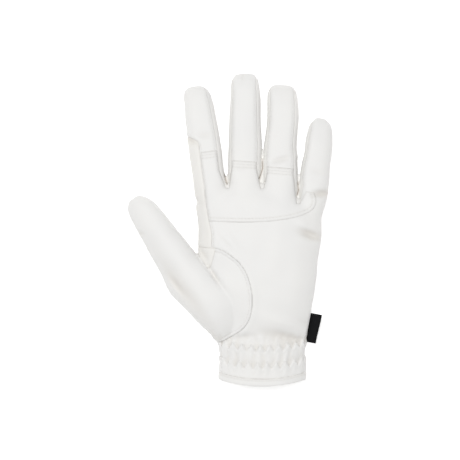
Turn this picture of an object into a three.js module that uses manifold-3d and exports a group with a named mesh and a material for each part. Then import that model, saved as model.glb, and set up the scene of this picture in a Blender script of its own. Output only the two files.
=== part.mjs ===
// A left-hand riding glove of thin white synthetic leather. It lies on its back with the palm up:
// X runs from the thumb side to the little finger, Y from the cuff to the fingertips, Z out of the palm.
// The glove is a hollow shell, cut along its seams into the panels that it is sewn from.
// Lengths are in millimetres. Tables hold shares of the named sizes that they follow.
import * as THREE from "three";
import { mergeVertices } from "three/addons/utils/BufferGeometryUtils.js";
import Module from "manifold-3d";

// Leather and seams
const wall = 1.2;
const seamGap = 0.3;
const patchThickness = 0.9;
const patchLift = 0.4;

// Palm, from the wrist line to the forks of the fingers
const palmLength = 120.5;
const palmWidth = 97;
const palmHeight = 28;
const palmCentreX = 23;
const wristY = -84;

// Cuff, from the hem to the wrist line
const cuffLength = 32.6;
const cuffWidth = 65.2;
const cuffHeight = 26;
const cuffShiftX = 1.2;
const hemBow = 4.9;
const hemPower = 2.2;
const hemDepth = 5.4;
const hemLift = 0.4;
const cuffSeamInset = 2;

// Elastic gathers round the wrist
const gatherCount = 18;
const gatherDepth = 1;

// Fingers: where each leaves the palm, as shares of the palm, and its own sizes
const fingers = {
  index: { across: -0.362, along: 0.8133, tilt: 8.1, length: 94.9, width: 24.4, height: 23 },
  middle: { across: -0.12, along: 0.8133, tilt: 0, length: 103, width: 25, height: 23.5 },
  ring: { across: 0.1442, along: 0.7967, tilt: -1.75, length: 96.5, width: 26.4, height: 23 },
  little: { across: 0.3845, along: 0.7635, tilt: -6.5, length: 76.2, width: 22.4, height: 21 },
};
const thumb = { across: -0.219, along: -0.0133, tilt: 33.85, length: 132, width: 31, height: 29.5 };

// Sections of a finger: along its length; shift and width as shares of its width; top and bottom of its height
const fingerSections = {
  index: [
    { along: 0, shift: 0.05, width: 0.72, top: 0.86, bottom: -0.05 },
    { along: 0.12, shift: 0, width: 1, top: 0.98, bottom: -0.05 },
    { along: 0.21, shift: 0, width: 1.01, top: 0.96, bottom: -0.05 },
    { along: 0.28, shift: -0.01, width: 0.985, top: 0.92, bottom: -0.04 },
    { along: 0.37, shift: -0.01, width: 0.985, top: 0.86, bottom: -0.04 },
    { along: 0.46, shift: 0, width: 1, top: 0.82, bottom: -0.04 },
    { along: 0.56, shift: 0.01, width: 0.99, top: 0.78, bottom: -0.04 },
    { along: 0.65, shift: 0.01, width: 0.965, top: 0.76, bottom: -0.04 },
    { along: 0.76, shift: 0, width: 0.945, top: 0.73, bottom: -0.04 },
    { along: 0.87, shift: 0, width: 0.885, top: 0.68, bottom: -0.03 },
    { along: 0.945, shift: -0.02, width: 0.79, top: 0.61, bottom: 0.03 },
    { along: 0.985, shift: -0.04, width: 0.62, top: 0.52, bottom: 0.1 },
    { along: 1, shift: -0.05, width: 0.44, top: 0.43, bottom: 0.19 },
  ],
  middle: [
    { along: 0, shift: 0, width: 0.8, top: 0.92, bottom: -0.05 },
    { along: 0.12, shift: 0, width: 0.97, top: 0.99, bottom: -0.05 },
    { along: 0.195, shift: 0, width: 0.99, top: 0.95, bottom: -0.05 },
    { along: 0.25, shift: -0.01, width: 0.98, top: 0.92, bottom: -0.04 },
    { along: 0.37, shift: -0.005, width: 0.985, top: 0.85, bottom: -0.04 },
    { along: 0.46, shift: 0, width: 0.995, top: 0.82, bottom: -0.04 },
    { along: 0.55, shift: 0, width: 0.99, top: 0.79, bottom: -0.04 },
    { along: 0.64, shift: 0, width: 0.95, top: 0.77, bottom: -0.04 },
    { along: 0.75, shift: 0.005, width: 0.925, top: 0.74, bottom: -0.04 },
    { along: 0.85, shift: 0.005, width: 0.895, top: 0.7, bottom: -0.03 },
    { along: 0.93, shift: 0, width: 0.84, top: 0.65, bottom: 0 },
    { along: 0.975, shift: 0, width: 0.74, top: 0.57, bottom: 0.06 },
    { along: 1, shift: 0, width: 0.56, top: 0.46, bottom: 0.17 },
  ],
  ring: [
    { along: 0, shift: 0, width: 0.8, top: 0.92, bottom: -0.05 },
    { along: 0.12, shift: 0, width: 0.96, top: 0.99, bottom: -0.05 },
    { along: 0.22, shift: 0.005, width: 0.975, top: 0.95, bottom: -0.05 },
    { along: 0.32, shift: 0.01, width: 0.985, top: 0.89, bottom: -0.04 },
    { along: 0.42, shift: 0, width: 0.985, top: 0.83, bottom: -0.04 },
    { along: 0.52, shift: -0.02, width: 0.93, top: 0.8, bottom: -0.04 },
    { along: 0.61, shift: -0.01, width: 0.905, top: 0.78, bottom: -0.04 },
    { along: 0.7, shift: 0.015, width: 0.895, top: 0.76, bottom: -0.04 },
    { along: 0.79, shift: 0.02, width: 0.895, top: 0.73, bottom: -0.04 },
    { along: 0.88, shift: 0.01, width: 0.87, top: 0.69, bottom: -0.03 },
    { along: 0.945, shift: -0.01, width: 0.81, top: 0.63, bottom: 0.02 },
    { along: 0.98, shift: -0.015, width: 0.7, top: 0.55, bottom: 0.08 },
    { along: 1, shift: -0.02, width: 0.52, top: 0.45, bottom: 0.18 },
  ],
  little: [
    { along: 0, shift: -0.03, width: 0.74, top: 0.93, bottom: -0.05 },
    { along: 0.12, shift: 0, width: 0.905, top: 1.01, bottom: -0.05 },
    { along: 0.22, shift: 0.02, width: 0.94, top: 0.99, bottom: -0.05 },
    { along: 0.32, shift: 0.01, width: 0.96, top: 0.95, bottom: -0.05 },
    { along: 0.42, shift: -0.01, width: 0.99, top: 0.9, bottom: -0.05 },
    { along: 0.53, shift: -0.01, width: 0.955, top: 0.86, bottom: -0.05 },
    { along: 0.65, shift: 0.015, width: 0.92, top: 0.82, bottom: -0.04 },
    { along: 0.77, shift: 0.015, width: 0.895, top: 0.78, bottom: -0.04 },
    { along: 0.86, shift: 0.01, width: 0.84, top: 0.73, bottom: -0.02 },
    { along: 0.93, shift: 0, width: 0.73, top: 0.66, bottom: 0.03 },
    { along: 0.975, shift: -0.01, width: 0.54, top: 0.57, bottom: 0.1 },
    { along: 1, shift: -0.02, width: 0.34, top: 0.47, bottom: 0.2 },
  ],
};

// Sections of the thumb, with its two sides apart, because the ball of the thumb spreads into the palm.
// The roll lifts the side that faces the index finger, in degrees.
const thumbSections = [
  { along: 0, left: 0.16, right: 0.5, top: 0.62, bottom: 0.2, roll: 0 },
  { along: 0.07, left: 0.26, right: 0.74, top: 0.81, bottom: 0.14, roll: 0 },
  { along: 0.165, left: 0.355, right: 0.87, top: 0.945, bottom: 0.11, roll: 1 },
  { along: 0.26, left: 0.425, right: 0.81, top: 0.985, bottom: 0.11, roll: 3 },
  { along: 0.36, left: 0.5, right: 0.69, top: 0.965, bottom: 0.1, roll: 6 },
  { along: 0.44, left: 0.558, right: 0.585, top: 0.93, bottom: 0.085, roll: 8.5 },
  { along: 0.56, left: 0.49, right: 0.505, top: 0.85, bottom: 0.05, roll: 12 },
  { along: 0.64, left: 0.458, right: 0.475, top: 0.79, bottom: 0.03, roll: 12 },
  { along: 0.72, left: 0.44, right: 0.435, top: 0.73, bottom: 0.01, roll: 12 },
  { along: 0.8, left: 0.405, right: 0.41, top: 0.67, bottom: -0.02, roll: 11 },
  { along: 0.87, left: 0.372, right: 0.385, top: 0.62, bottom: -0.03, roll: 10 },
  { along: 0.94, left: 0.335, right: 0.33, top: 0.56, bottom: 0, roll: 8 },
  { along: 0.975, left: 0.275, right: 0.25, top: 0.5, bottom: 0.05, roll: 8 },
  { along: 1, left: 0.17, right: 0.15, top: 0.42, bottom: 0.12, roll: 8 },
];

// Sections of the palm: along its length; left and right of its centre line; top and bottom of its height
const palmSections = [
  { along: 0, left: -0.33, right: 0.357, top: 0.87, bottom: -0.05 },
  { along: 0.059, left: -0.347, right: 0.366, top: 0.895, bottom: -0.05 },
  { along: 0.137, left: -0.363, right: 0.379, top: 0.94, bottom: -0.05 },
  { along: 0.225, left: -0.393, right: 0.399, top: 0.98, bottom: -0.05 },
  { along: 0.313, left: -0.427, right: 0.419, top: 1, bottom: -0.05 },
  { along: 0.411, left: -0.457, right: 0.434, top: 1, bottom: -0.05 },
  { along: 0.509, left: -0.48, right: 0.446, top: 0.985, bottom: -0.05 },
  { along: 0.607, left: -0.486, right: 0.465, top: 0.97, bottom: -0.05 },
  { along: 0.705, left: -0.482, right: 0.475, top: 0.94, bottom: -0.05 },
  { along: 0.793, left: -0.49, right: 0.477, top: 0.91, bottom: -0.05 },
  { along: 0.862, left: -0.5, right: 0.482, top: 0.88, bottom: -0.04 },
  { along: 0.925, left: -0.498, right: 0.482, top: 0.82, bottom: -0.03 },
  { along: 1, left: -0.46, right: 0.445, top: 0.62, bottom: 0.1 },
];
// The fork end of the palm is bowed: highest at forkPeak across the palm, and forkDrop lower half a palm away
const forkPeak = -0.129;
const forkDrop = 18.3;
const forkFrom = 0.72;

// The hem's bow fades out over this share of the cuff, and the cuff's rounding turns into the palm's over this
const bowFade = 0.75;
const powerBlend = 0.2;

// Sections of the cuff from its hem: width and height as shares of the cuff's, and how deep the gathers are
const cuffSections = [
  { along: 0, width: 0.994, height: 1, gather: 0 },
  { along: 0.09, width: 1, height: 1, gather: 0 },
  { along: 0.18, width: 1.002, height: 0.99, gather: 0.25 },
  { along: 0.27, width: 1.004, height: 0.975, gather: 0.9 },
  { along: 0.38, width: 0.998, height: 0.96, gather: 1 },
  { along: 0.5, width: 0.985, height: 0.95, gather: 0.75 },
  { along: 0.62, width: 0.98, height: 0.94, gather: 0.9 },
  { along: 0.75, width: 0.985, height: 0.935, gather: 1 },
  { along: 0.9, width: 0.995, height: 0.935, gather: 0.5 },
];

// Dents and folds of the top: place, run and width as shares of the palm, depth of its height, angle from X
const folds = [
  { across: 0.39, along: 0.676, angle: -28, run: 0.103, width: 0.046, depth: 0.06 },
  { across: 0.3, along: 0.093, angle: -24, run: 0.155, width: 0.046, depth: 0.057 },
  { across: 0.1, along: 0.059, angle: -35, run: 0.124, width: 0.041, depth: 0.032 },
  { across: 0.48, along: 0.925, angle: 4, run: 0.072, width: 0.033, depth: 0.093 },
  { across: -0.38, along: 0.411, angle: -52, run: 0.134, width: 0.036, depth: 0.071 },
];

// Where the seams run on the fingers, as shares of the half width
const seamLeft = -0.84;
const seamRight = 0.76;
const stripSeam = -0.34;
const stripStart = 0.22;
const stripTop = 0.57;
const fourchetteStart = 0.31;
const fourchetteEnd = 0.9;
// Where the top seam of the index strip turns off to the side, past stripTop, and how far out cuts reach
const indexOutside = -1.6;
const stripTurn = [
  { past: 0, side: -0.42 },
  { past: 0.025, side: -0.74 },
  { past: 0.045, side: -1 },
  { past: 0.05, side: indexOutside },
];
// Cuts pass outside the little finger here, and outside each fingertip by this much
const littleOutside = { along: 0.3, side: 2.4 };
const tipSide = 1.08;
const tipRoom = 12;
// The fork between two fingers is looked for here, and its side walls start this far below it
const forkLook = 0.2;
const forkRoom = 6;
const rootLook = 0.12;
// How far above its root each finger's palm patch ends, and how far past each fork the seams meet
const patchEnds = { index: 0.448, middle: 0.345, ring: 0.345 };
const patchLittle = { along: 0.27, side: -0.55 };
const forkSeamDrop = 3.6;
const forkSeamWidth = 3;

// The seam round the ball of the thumb, from the gusset to the wrist, as shares of the palm
const thumbSeam = [
  { across: -0.345, along: 0.585 },
  { across: -0.296, along: 0.573 },
  { across: -0.222, along: 0.536 },
  { across: -0.16, along: 0.492 },
  { across: -0.106, along: 0.423 },
  { across: -0.075, along: 0.343 },
  { across: -0.063, along: 0.261 },
  { across: -0.071, along: 0.187 },
  { across: -0.098, along: 0.124 },
  { across: -0.152, along: 0.074 },
  { across: -0.222, along: 0.037 },
  { across: -0.303, along: 0 },
];
// The seam between the index strip and the palm, from the gusset to the finger
const stripSeamPalm = [
  { across: -0.38, along: 0.597 },
  { across: -0.376, along: 0.666 },
  { across: -0.392, along: 0.729 },
  { across: -0.407, along: 0.79 },
  { across: -0.423, along: 0.853 },
];
// The small gusset in the fork of the thumb, and the thumb hole on the back
const gussetCorners = [
  { across: -0.5, along: 0.595 },
  { across: -0.345, along: 0.585 },
  { across: -0.384, along: 0.473 },
  { across: -0.407, along: 0.46 },
  { across: -0.485, along: 0.55 },
];
const thumbHole = [
  { across: -0.485, along: 0.55 },
  { across: -0.497, along: 0.49 },
  { across: -0.474, along: 0.392 },
  { across: -0.44, along: 0.284 },
  { across: -0.396, along: 0.166 },
  { across: -0.358, along: 0.039 },
  { across: -0.362, along: -0.01 },
  { across: -0.44, along: -0.039 },
];
// The lower edge of the palm patch, from the strip seam to the root of the little finger
const patchArc = [
  { across: -0.399, along: 0.753 },
  { across: -0.237, along: 0.747 },
  { across: -0.044, along: 0.747 },
  { across: 0.149, along: 0.759 },
  { across: 0.281, along: 0.78 },
  { across: 0.351, along: 0.8 },
  { across: 0.397, along: 0.822 },
  { across: 0.424, along: 0.853 },
  { across: 0.428, along: 0.896 },
  { across: 0.412, along: 0.933 },
];
// Height of the side seam above the floor along Y, as shares of the palm's length and height
const sideSeam = [
  { along: -0.392, height: 0.44 },
  { along: 0, height: 0.42 },
  { along: 0.685, height: 0.36 },
  { along: 0.93, height: 0.2 },
  { along: 1.077, height: 0.165 },
  { along: 1.861, height: 0.165 },
];
// Height of the thumb's side seam above the floor, from its root to its tip, and room beside the thumb
const thumbSideSeam = { root: 15.5, tip: 7.5 };
const thumbRoom = 4;
// The cuff's right seam ends in a small step at the wrist
const wristStep = { down: 1, up: 2 };

// The woven side label: its size, where its middle lies on the little-finger edge, and its lean
const labelLength = 22;
const labelWidth = 7.6;
const labelThickness = 1.1;
const labelAlong = 0.091;
const labelAcross = 0.375;
const labelLean = 10;
const labelHeight = 11.5;
const labelTuck = 3;

const palmPower = 2.7;
const cuffPower = 2.35;
const fingerPower = 2.5;
const thumbPower = 2.2;
const fingerAround = 16;
const thumbAround = 18;
const innerShare = 0.7;
const cuffAround = 3 * gatherCount;
const palmAround = cuffAround / 2;
const palmInnerAround = 22;
const outlineDetail = 8;
const hemSteps = 12;
const hemReach = 1.2;
const mitreLimit = 0.5;
const innerFoldSpread = 1.5;
// Points sit closer together on the top than on the underside, by this share
const undersideShare = 0.55;
const high = palmHeight * 3;
const wide = (palmWidth + palmLength + fingers.middle.length) * 2;

const wasm = await Module();
wasm.setup();

const lerp = THREE.MathUtils.lerp;
const onPalm = ({ across, along }) =>
  new THREE.Vector2(palmCentreX + across * palmWidth, wristY + along * palmLength);

// A three.js geometry as a solid that can be cut and joined
function solidOf(geometry) {
  const bare = geometry.clone();
  bare.deleteAttribute("normal");
  bare.deleteAttribute("uv");
  const merged = mergeVertices(bare, 1e-4);
  return new wasm.Manifold(
    new wasm.Mesh({
      numProp: 3,
      vertProperties: new Float32Array(merged.attributes.position.array),
      triVerts: new Uint32Array(merged.index.array),
    }),
  );
}

// The points of one rounded section: half widths, bottom and top, grown by a margin and flattened on the floor
function ringPoints(section, around, margin, floor) {
  const { centre, across, left, right, top, bottom, power, roll = 0 } = section;
  const middle = (top + bottom) / 2;
  const half = (top - bottom) / 2 + margin;
  const dense = outlineDetail * around;
  const outline = [];
  for (let i = 0; i <= dense; i++) {
    const angle = (2 * Math.PI * i) / dense;
    const c = Math.cos(angle);
    const s = Math.sin(angle);
    const side = (c > 0 ? right : left) + margin;
    outline.push(
      new THREE.Vector2(
        Math.sign(c) * Math.abs(c) ** (2 / power) * side,
        Math.sign(s) * Math.abs(s) ** (2 / power) * half,
      ),
    );
  }
  const turn = THREE.MathUtils.degToRad(roll);
  const path = evenly(outline, around);
  const spread = margin < 0 ? innerFoldSpread : 1;
  return path.map((p, i) => {
    p.rotateAround(new THREE.Vector2(), turn);
    const phase = (2 * Math.PI * i * gatherCount) / around;
    const wave = (gatherDepth * (section.gather ?? 0) * (1 + Math.cos(phase))) / 2;
    const out = p.clone().normalize().multiplyScalar(wave);
    const x = centre.x + across.x * (p.x + out.x);
    const bow = section.bow ? section.bow(centre.x + across.x * p.x) : 0;
    const y = centre.y + across.y * (p.x + out.x) + bow;
    const z = middle + p.y + out.y;
    const upper = THREE.MathUtils.clamp(p.y / half, 0, 1);
    return new THREE.Vector3(x, y, Math.max(z + upper * foldDepth(x, y, spread), floor));
  });
}

// Points spaced along a closed outline, wider apart below its middle
function evenly(outline, count) {
  const lengths = [0];
  for (let i = 1; i < outline.length; i++) {
    const weight = outline[i].y < 0 ? undersideShare : 1;
    lengths.push(lengths[i - 1] + weight * outline[i].distanceTo(outline[i - 1]));
  }
  const total = lengths[lengths.length - 1];
  let k = 1;
  return Array.from({ length: count }, (_, i) => {
    const at = (total * i) / count;
    while (lengths[k] < at) k++;
    const share = (at - lengths[k - 1]) / (lengths[k] - lengths[k - 1]);
    return outline[k - 1].clone().lerp(outline[k], share);
  });
}

// How far the folds press the top in at a point
function foldDepth(x, y, spread) {
  let depth = 0;
  for (const fold of folds) {
    const at = onPalm(fold);
    const turn = THREE.MathUtils.degToRad(fold.angle);
    const dx = x - at.x;
    const dy = y - at.y;
    const run = (dx * Math.cos(turn) + dy * Math.sin(turn)) / (fold.run * palmWidth * spread);
    const side = (dy * Math.cos(turn) - dx * Math.sin(turn)) / (fold.width * palmWidth * spread);
    depth -= fold.depth * palmHeight * Math.exp(-run * run - side * side);
  }
  return depth;
}

// A cap over one ring, zipped from its right to its left so that it follows a bowed end
function zip(ring, start) {
  let i = 1;
  let j = ring.length - 1;
  const triangles = [start, start + i, start + j];
  while (j - i > 1) {
    const above = ring[i + 1].x > ring[j - 1].x;
    triangles.push(start + i, start + (above ? i + 1 : j - 1), start + j);
    if (above) i++;
    else j--;
  }
  return triangles;
}

// A closed skin through rings of points. A ring may have half the points of the one before it.
function loft(rings) {
  const positions = rings.flat().flatMap((p) => [p.x, p.y, p.z]);
  const index = [];
  let first = 0;
  for (let r = 0; r + 1 < rings.length; r++) {
    const count = rings[r].length;
    const next = first + count;
    const step = count / rings[r + 1].length;
    for (let i = 0; i < rings[r + 1].length; i++) {
      const c = next + i;
      const d = next + ((i + 1) % rings[r + 1].length);
      const a = first + i * step;
      const m = a + 1;
      const b = first + (((i + 1) * step) % count);
      if (step === 2) index.push(a, c, m, m, c, d, m, d, b);
      else index.push(a, c, b, b, c, d);
    }
    first = next;
  }
  const firstCap = zip(rings[0], 0);
  const lastCap = zip(rings[rings.length - 1], first);
  index.push(...firstCap, ...lastCap.reverse());
  const geometry = new THREE.BufferGeometry();
  geometry.setAttribute("position", new THREE.Float32BufferAttribute(positions, 3));
  geometry.setIndex(index);
  const made = solidOf(geometry);
  if (made.volume() > 0) return made;
  for (let i = 0; i < index.length; i += 3) {
    [index[i + 1], index[i + 2]] = [index[i + 2], index[i + 1]];
  }
  geometry.setIndex(index);
  return solidOf(geometry);
}

// A finger's or thumb's own frame: its root on the palm, the way it points and the way across it
function limbFrame(limb) {
  const tilt = THREE.MathUtils.degToRad(limb.tilt);
  return {
    root: onPalm(limb),
    ahead: new THREE.Vector2(-Math.sin(tilt), Math.cos(tilt)),
    across: new THREE.Vector2(Math.cos(tilt), Math.sin(tilt)),
  };
}

// The inside needs fewer sections than the outside
function sparser(rows, margin) {
  return rows.filter((_, i) => margin >= 0 || i % 2 === 0 || i >= rows.length - 2);
}

function limbSolid(limb, sections, power, around, margin, floor) {
  const { root, ahead, across } = limbFrame(limb);
  const rings = sparser(sections, margin).map((row) => {
    const reach = row.along * (limb.length + margin);
    const shift = (row.shift ?? 0) * limb.width;
    const section = {
      centre: root.clone().addScaledVector(ahead, reach).addScaledVector(across, shift),
      across,
      left: (row.left ?? row.width / 2) * limb.width,
      right: (row.right ?? row.width / 2) * limb.width,
      top: row.top * limb.height,
      bottom: row.bottom * limb.height,
      power,
      roll: row.roll,
    };
    return ringPoints(section, around, margin, floor);
  });
  return loft(rings);
}

function palmSolid(margin, floor, gathered) {
  const across = new THREE.Vector2(1, 0);
  const cuffCentreX = palmCentreX + cuffShiftX;
  const rows = cuffSections.map((row) => {
    const fade = Math.max(0, 1 - row.along / bowFade);
    return {
      centre: new THREE.Vector2(cuffCentreX, wristY - cuffLength * (1 - row.along)),
      across,
      left: (row.width * cuffWidth) / 2,
      right: (row.width * cuffWidth) / 2,
      top: (cuffHeight * (1 + row.height)) / 2,
      bottom: (cuffHeight * (1 - row.height)) / 2,
      power: cuffPower,
      around: gathered ? cuffAround : palmInnerAround,
      gather: gathered ? row.gather : 0,
      bow: (x) => hemBow * fade * Math.abs((2 * (x - cuffCentreX)) / cuffWidth) ** hemPower,
    };
  });
  palmSections.forEach((row) => {
    const middle = (row.left + row.right) / 2;
    const half = ((row.right - row.left) / 2) * palmWidth;
    const share = Math.max(0, (row.along - forkFrom) / (1 - forkFrom));
    rows.push({
      centre: onPalm({ across: middle, along: row.along }).add(new THREE.Vector2(0, share * margin)),
      across,
      left: half,
      right: half,
      top: row.top * palmHeight,
      bottom: row.bottom * palmHeight,
      power: lerp(cuffPower, palmPower, Math.min(1, row.along / powerBlend)),
      around: gathered ? palmAround : palmInnerAround,
      bow: (x) => -share * forkDrop * (((x - palmCentreX) / palmWidth - forkPeak) * 2) ** 2,
    });
  });
  // The hollow runs out through the hem
  if (margin < 0) {
    const mouth = rows[0];
    rows.unshift({ ...mouth, centre: mouth.centre.clone().add(new THREE.Vector2(0, -2 * hemBow)) });
  }
  return loft(sparser(rows, margin).map((row) => ringPoints(row, row.around, margin, floor)));
}

// The whole hand, grown or shrunk by a margin
function handSolid(margin, floor, gathered) {
  const round = (around) => Math.round(around * (margin < 0 ? innerShare : 1));
  const limbs = Object.entries(fingers).map(([name, finger]) =>
    limbSolid(finger, fingerSections[name], fingerPower, round(fingerAround), margin, floor),
  );
  limbs.push(
    limbSolid(thumb, thumbSections, thumbPower, round(thumbAround), margin, floor),
    palmSolid(margin, floor, gathered),
  );
  return wasm.Manifold.union(limbs);
}

// A prism with upright sides over a closed outline
function prism(outline, low = -high, top = high) {
  const depth = top - low;
  const geometry = new THREE.ExtrudeGeometry(new THREE.Shape(outline), { depth, bevelEnabled: false });
  geometry.translate(0, 0, low);
  return solidOf(geometry);
}

// A line moved sideways by a distance, with its corners mitred
function offset(points, distance) {
  const sides = points.slice(1).map((p, i) => {
    const run = p.clone().sub(points[i]).normalize();
    return new THREE.Vector2(-run.y, run.x);
  });
  return points.map((p, i) => {
    const before = sides[Math.max(0, i - 1)];
    const after = sides[Math.min(i, sides.length - 1)];
    const mitre = before.clone().add(after).normalize();
    return p.clone().addScaledVector(mitre, distance / Math.max(mitreLimit, mitre.dot(after)));
  });
}

// A thin upright wall along a seam, which opens the gap between two panels
const curtain = (points, low = -high, top = high) =>
  prism([...offset(points, -seamGap / 2), ...offset(points, seamGap / 2).reverse()], low, top);

// A smooth line through shares of the palm
const smooth = (rows, count = 24) => new THREE.SplineCurve(rows.map(onPalm)).getPoints(count);

// A point on a finger, at a share of its length and of its half width
function onFinger(name, along, side) {
  const finger = fingers[name];
  const rows = fingerSections[name];
  const k = Math.max(1, rows.findIndex((row) => row.along >= along));
  const share = (along - rows[k - 1].along) / (rows[k].along - rows[k - 1].along);
  const shift = lerp(rows[k - 1].shift, rows[k].shift, share);
  const width = lerp(rows[k - 1].width, rows[k].width, share);
  const { root, ahead, across } = limbFrame(finger);
  return root
    .clone()
    .addScaledVector(ahead, along * finger.length)
    .addScaledVector(across, (shift + (side * width) / 2) * finger.width);
}

// The seam of a finger from one share of its length to another
function fingerSeam(name, side, from, to, steps = 8) {
  return Array.from({ length: steps + 1 }, (_, i) => onFinger(name, lerp(from, to, i / steps), side));
}

// Where the seams of two neighbouring fingers meet below their fork, from left to right
function forkPoints(leftName, rightName) {
  const a = onFinger(leftName, forkLook, 1);
  const b = onFinger(rightName, forkLook, -1);
  const x = (a.x + b.x) / 2;
  const across = (x - palmCentreX) / palmWidth;
  const y = wristY + palmLength - forkDrop * ((across - forkPeak) * 2) ** 2;
  return [-0.5, 0.5].map((side) => new THREE.Vector2(x + side * forkSeamWidth, y - forkSeamDrop));
}

const names = Object.keys(fingers);
const forks = names.slice(1).map((name, i) => forkPoints(names[i], name));

// Up one side of a finger, out round its tip and down the other side
function roundFinger(name, leftSide, rightSide) {
  const { ahead, across } = limbFrame(fingers[name]);
  const tip = onFinger(name, 1, 0).addScaledVector(ahead, tipRoom);
  const half = (fingers[name].width * tipSide) / 2;
  const end = (side) => onFinger(name, fourchetteEnd, side);
  return [
    ...leftSide,
    ...(leftSide.length ? [end(seamLeft), end(-tipSide)] : []),
    tip.clone().addScaledVector(across, -half),
    tip.clone().addScaledVector(across, half),
    ...(rightSide.length ? [end(tipSide), end(seamRight)] : []),
    ...rightSide,
  ];
}

const upSeam = (name, side) => fingerSeam(name, side, fourchetteStart, fourchetteEnd - 0.02, 5);
const downSeam = (name, side) => upSeam(name, side).reverse();

// The seam between the index strip and the palm panel, from the gusset up to the fingertip's wrap
const stripLine = [
  ...smooth(stripSeamPalm, 5),
  ...fingerSeam("index", stripSeam, stripStart, stripTop - 0.02, 5),
  ...stripTurn.map(({ past, side }) => onFinger("index", stripTop + past, side)),
];
const thumbLine = smooth(thumbSeam, 16);
const cuffHalf = cuffWidth / 2 - cuffSeamInset;
const cuffCentre = palmCentreX + cuffShiftX;
const cuffLow = wristY - cuffLength - 4 * hemBow;
const thumbLineEnd = thumbLine[thumbLine.length - 1];
const cuffLeftLine = [new THREE.Vector2(cuffCentre - cuffHalf, cuffLow), thumbLineEnd];
const cuffRightLine = [
  new THREE.Vector2(cuffCentre + cuffHalf, cuffLow),
  new THREE.Vector2(cuffCentre + cuffHalf, wristY - wristStep.down),
  new THREE.Vector2(cuffCentre + cuffWidth, wristY + wristStep.up),
];

// The outline of the palm panel, counter-clockwise from the hem
const palmOutline = [
  cuffRightLine[0],
  cuffRightLine[1],
  cuffRightLine[2],
  new THREE.Vector2(palmCentreX + palmWidth, wristY),
  onFinger("little", littleOutside.along, littleOutside.side),
  ...roundFinger("little", upSeam("little", seamLeft), []).reverse(),
  ...forks[2].slice().reverse(),
  ...roundFinger("ring", upSeam("ring", seamLeft), downSeam("ring", seamRight)).reverse(),
  ...forks[1].slice().reverse(),
  ...roundFinger("middle", upSeam("middle", seamLeft), downSeam("middle", seamRight)).reverse(),
  ...forks[0].slice().reverse(),
  ...roundFinger("index", [], downSeam("index", seamRight)).reverse(),
  ...stripLine.slice().reverse(),
  ...thumbLine,
  cuffLeftLine[0],
];

// Everything below the side seam belongs to the back of the glove
const seamHeights = sideSeam.map(
  ({ along, height }) => new THREE.Vector2(wristY + along * palmLength, height * palmHeight),
);
function alongX(profile) {
  const geometry = new THREE.ExtrudeGeometry(new THREE.Shape(profile), { depth: wide, bevelEnabled: false });
  // The profile's X and Y become Y and Z, and its depth runs along X
  const [x, y, z] = [new THREE.Vector3(1, 0, 0), new THREE.Vector3(0, 1, 0), new THREE.Vector3(0, 0, 1)];
  geometry.applyMatrix4(new THREE.Matrix4().makeBasis(y, z, x));
  geometry.translate(-wide / 2, 0, 0);
  return solidOf(geometry);
}
const raised = (by) => seamHeights.map((p) => new THREE.Vector2(p.x, p.y + by));
const lowest = (line) => [line[line.length - 1], line[0]].map((p) => new THREE.Vector2(p.x, -high));
const below = alongX([...seamHeights, ...lowest(seamHeights)]);
const seamSheet = alongX([...raised(seamGap / 2), ...raised(-seamGap / 2).reverse()]);

// The thumb lies left of its hole; its own side seam climbs from tip to root
const holeLine = smooth(thumbHole, 9);
const farLeft = palmCentreX - wide / 2;
const thumbFrame = limbFrame(thumb);
const thumbTip = thumbFrame.root.clone().addScaledVector(thumbFrame.ahead, thumb.length);
const thumbLow = prism([
  ...holeLine,
  new THREE.Vector2(farLeft, wristY - cuffLength),
  new THREE.Vector2(farLeft, thumbTip.y + thumb.width),
  new THREE.Vector2(holeLine[0].x - thumbRoom, thumbTip.y + thumb.width),
]);
function thumbSheet(low, top) {
  const geometry = new THREE.BoxGeometry(wide, wide, top - low);
  geometry.translate(0, 0, (top + low) / 2);
  geometry.rotateX(Math.atan2(thumbSideSeam.tip - thumbSideSeam.root, thumb.length));
  geometry.rotateZ(THREE.MathUtils.degToRad(thumb.tilt));
  const middle = thumbFrame.root.clone().lerp(thumbTip, 0.5);
  geometry.translate(middle.x, middle.y, (thumbSideSeam.root + thumbSideSeam.tip) / 2);
  return solidOf(geometry);
}

// The whole hand in leather, with a gap opened along every seam
const outer = handSolid(0, 0, true);
const inner = handSolid(-wall, wall, false);
const shell = outer.subtract(inner);

const gusset = gussetCorners.map(onPalm);
const thumbTop = [
  ...thumbLine,
  new THREE.Vector2(farLeft, wristY),
  new THREE.Vector2(farLeft, thumbTip.y + thumb.width),
  new THREE.Vector2(gusset[4].x - thumbRoom, thumbTip.y + thumb.width),
  gusset[4],
  gusset[3],
  gusset[2],
];
const hemLine = (rise) =>
  Array.from({ length: hemSteps + 1 }, (_, i) => {
    const across = lerp(-hemReach, hemReach, i / hemSteps);
    return new THREE.Vector2(
      cuffCentre + (across * cuffWidth) / 2,
      wristY - cuffLength + rise + hemBow * Math.abs(across) ** hemPower,
    );
  });
const hemArea = (rise) =>
  prism([
    ...hemLine(rise),
    new THREE.Vector2(cuffCentre + cuffWidth, cuffLow),
    new THREE.Vector2(cuffCentre - cuffWidth, cuffLow),
  ]);

// The back panel wraps up over both sides of the cuff
const outsideLeft = [wristY, cuffLow].map((y) => new THREE.Vector2(cuffCentre - cuffWidth, y));
const cuffLeftSide = prism([...cuffLeftLine, ...outsideLeft], 0);
const cuffRightSide = prism([...cuffRightLine, new THREE.Vector2(cuffCentre + cuffWidth, cuffLow)], 0);
const cuffSides = cuffLeftSide.add(cuffRightSide);

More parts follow.
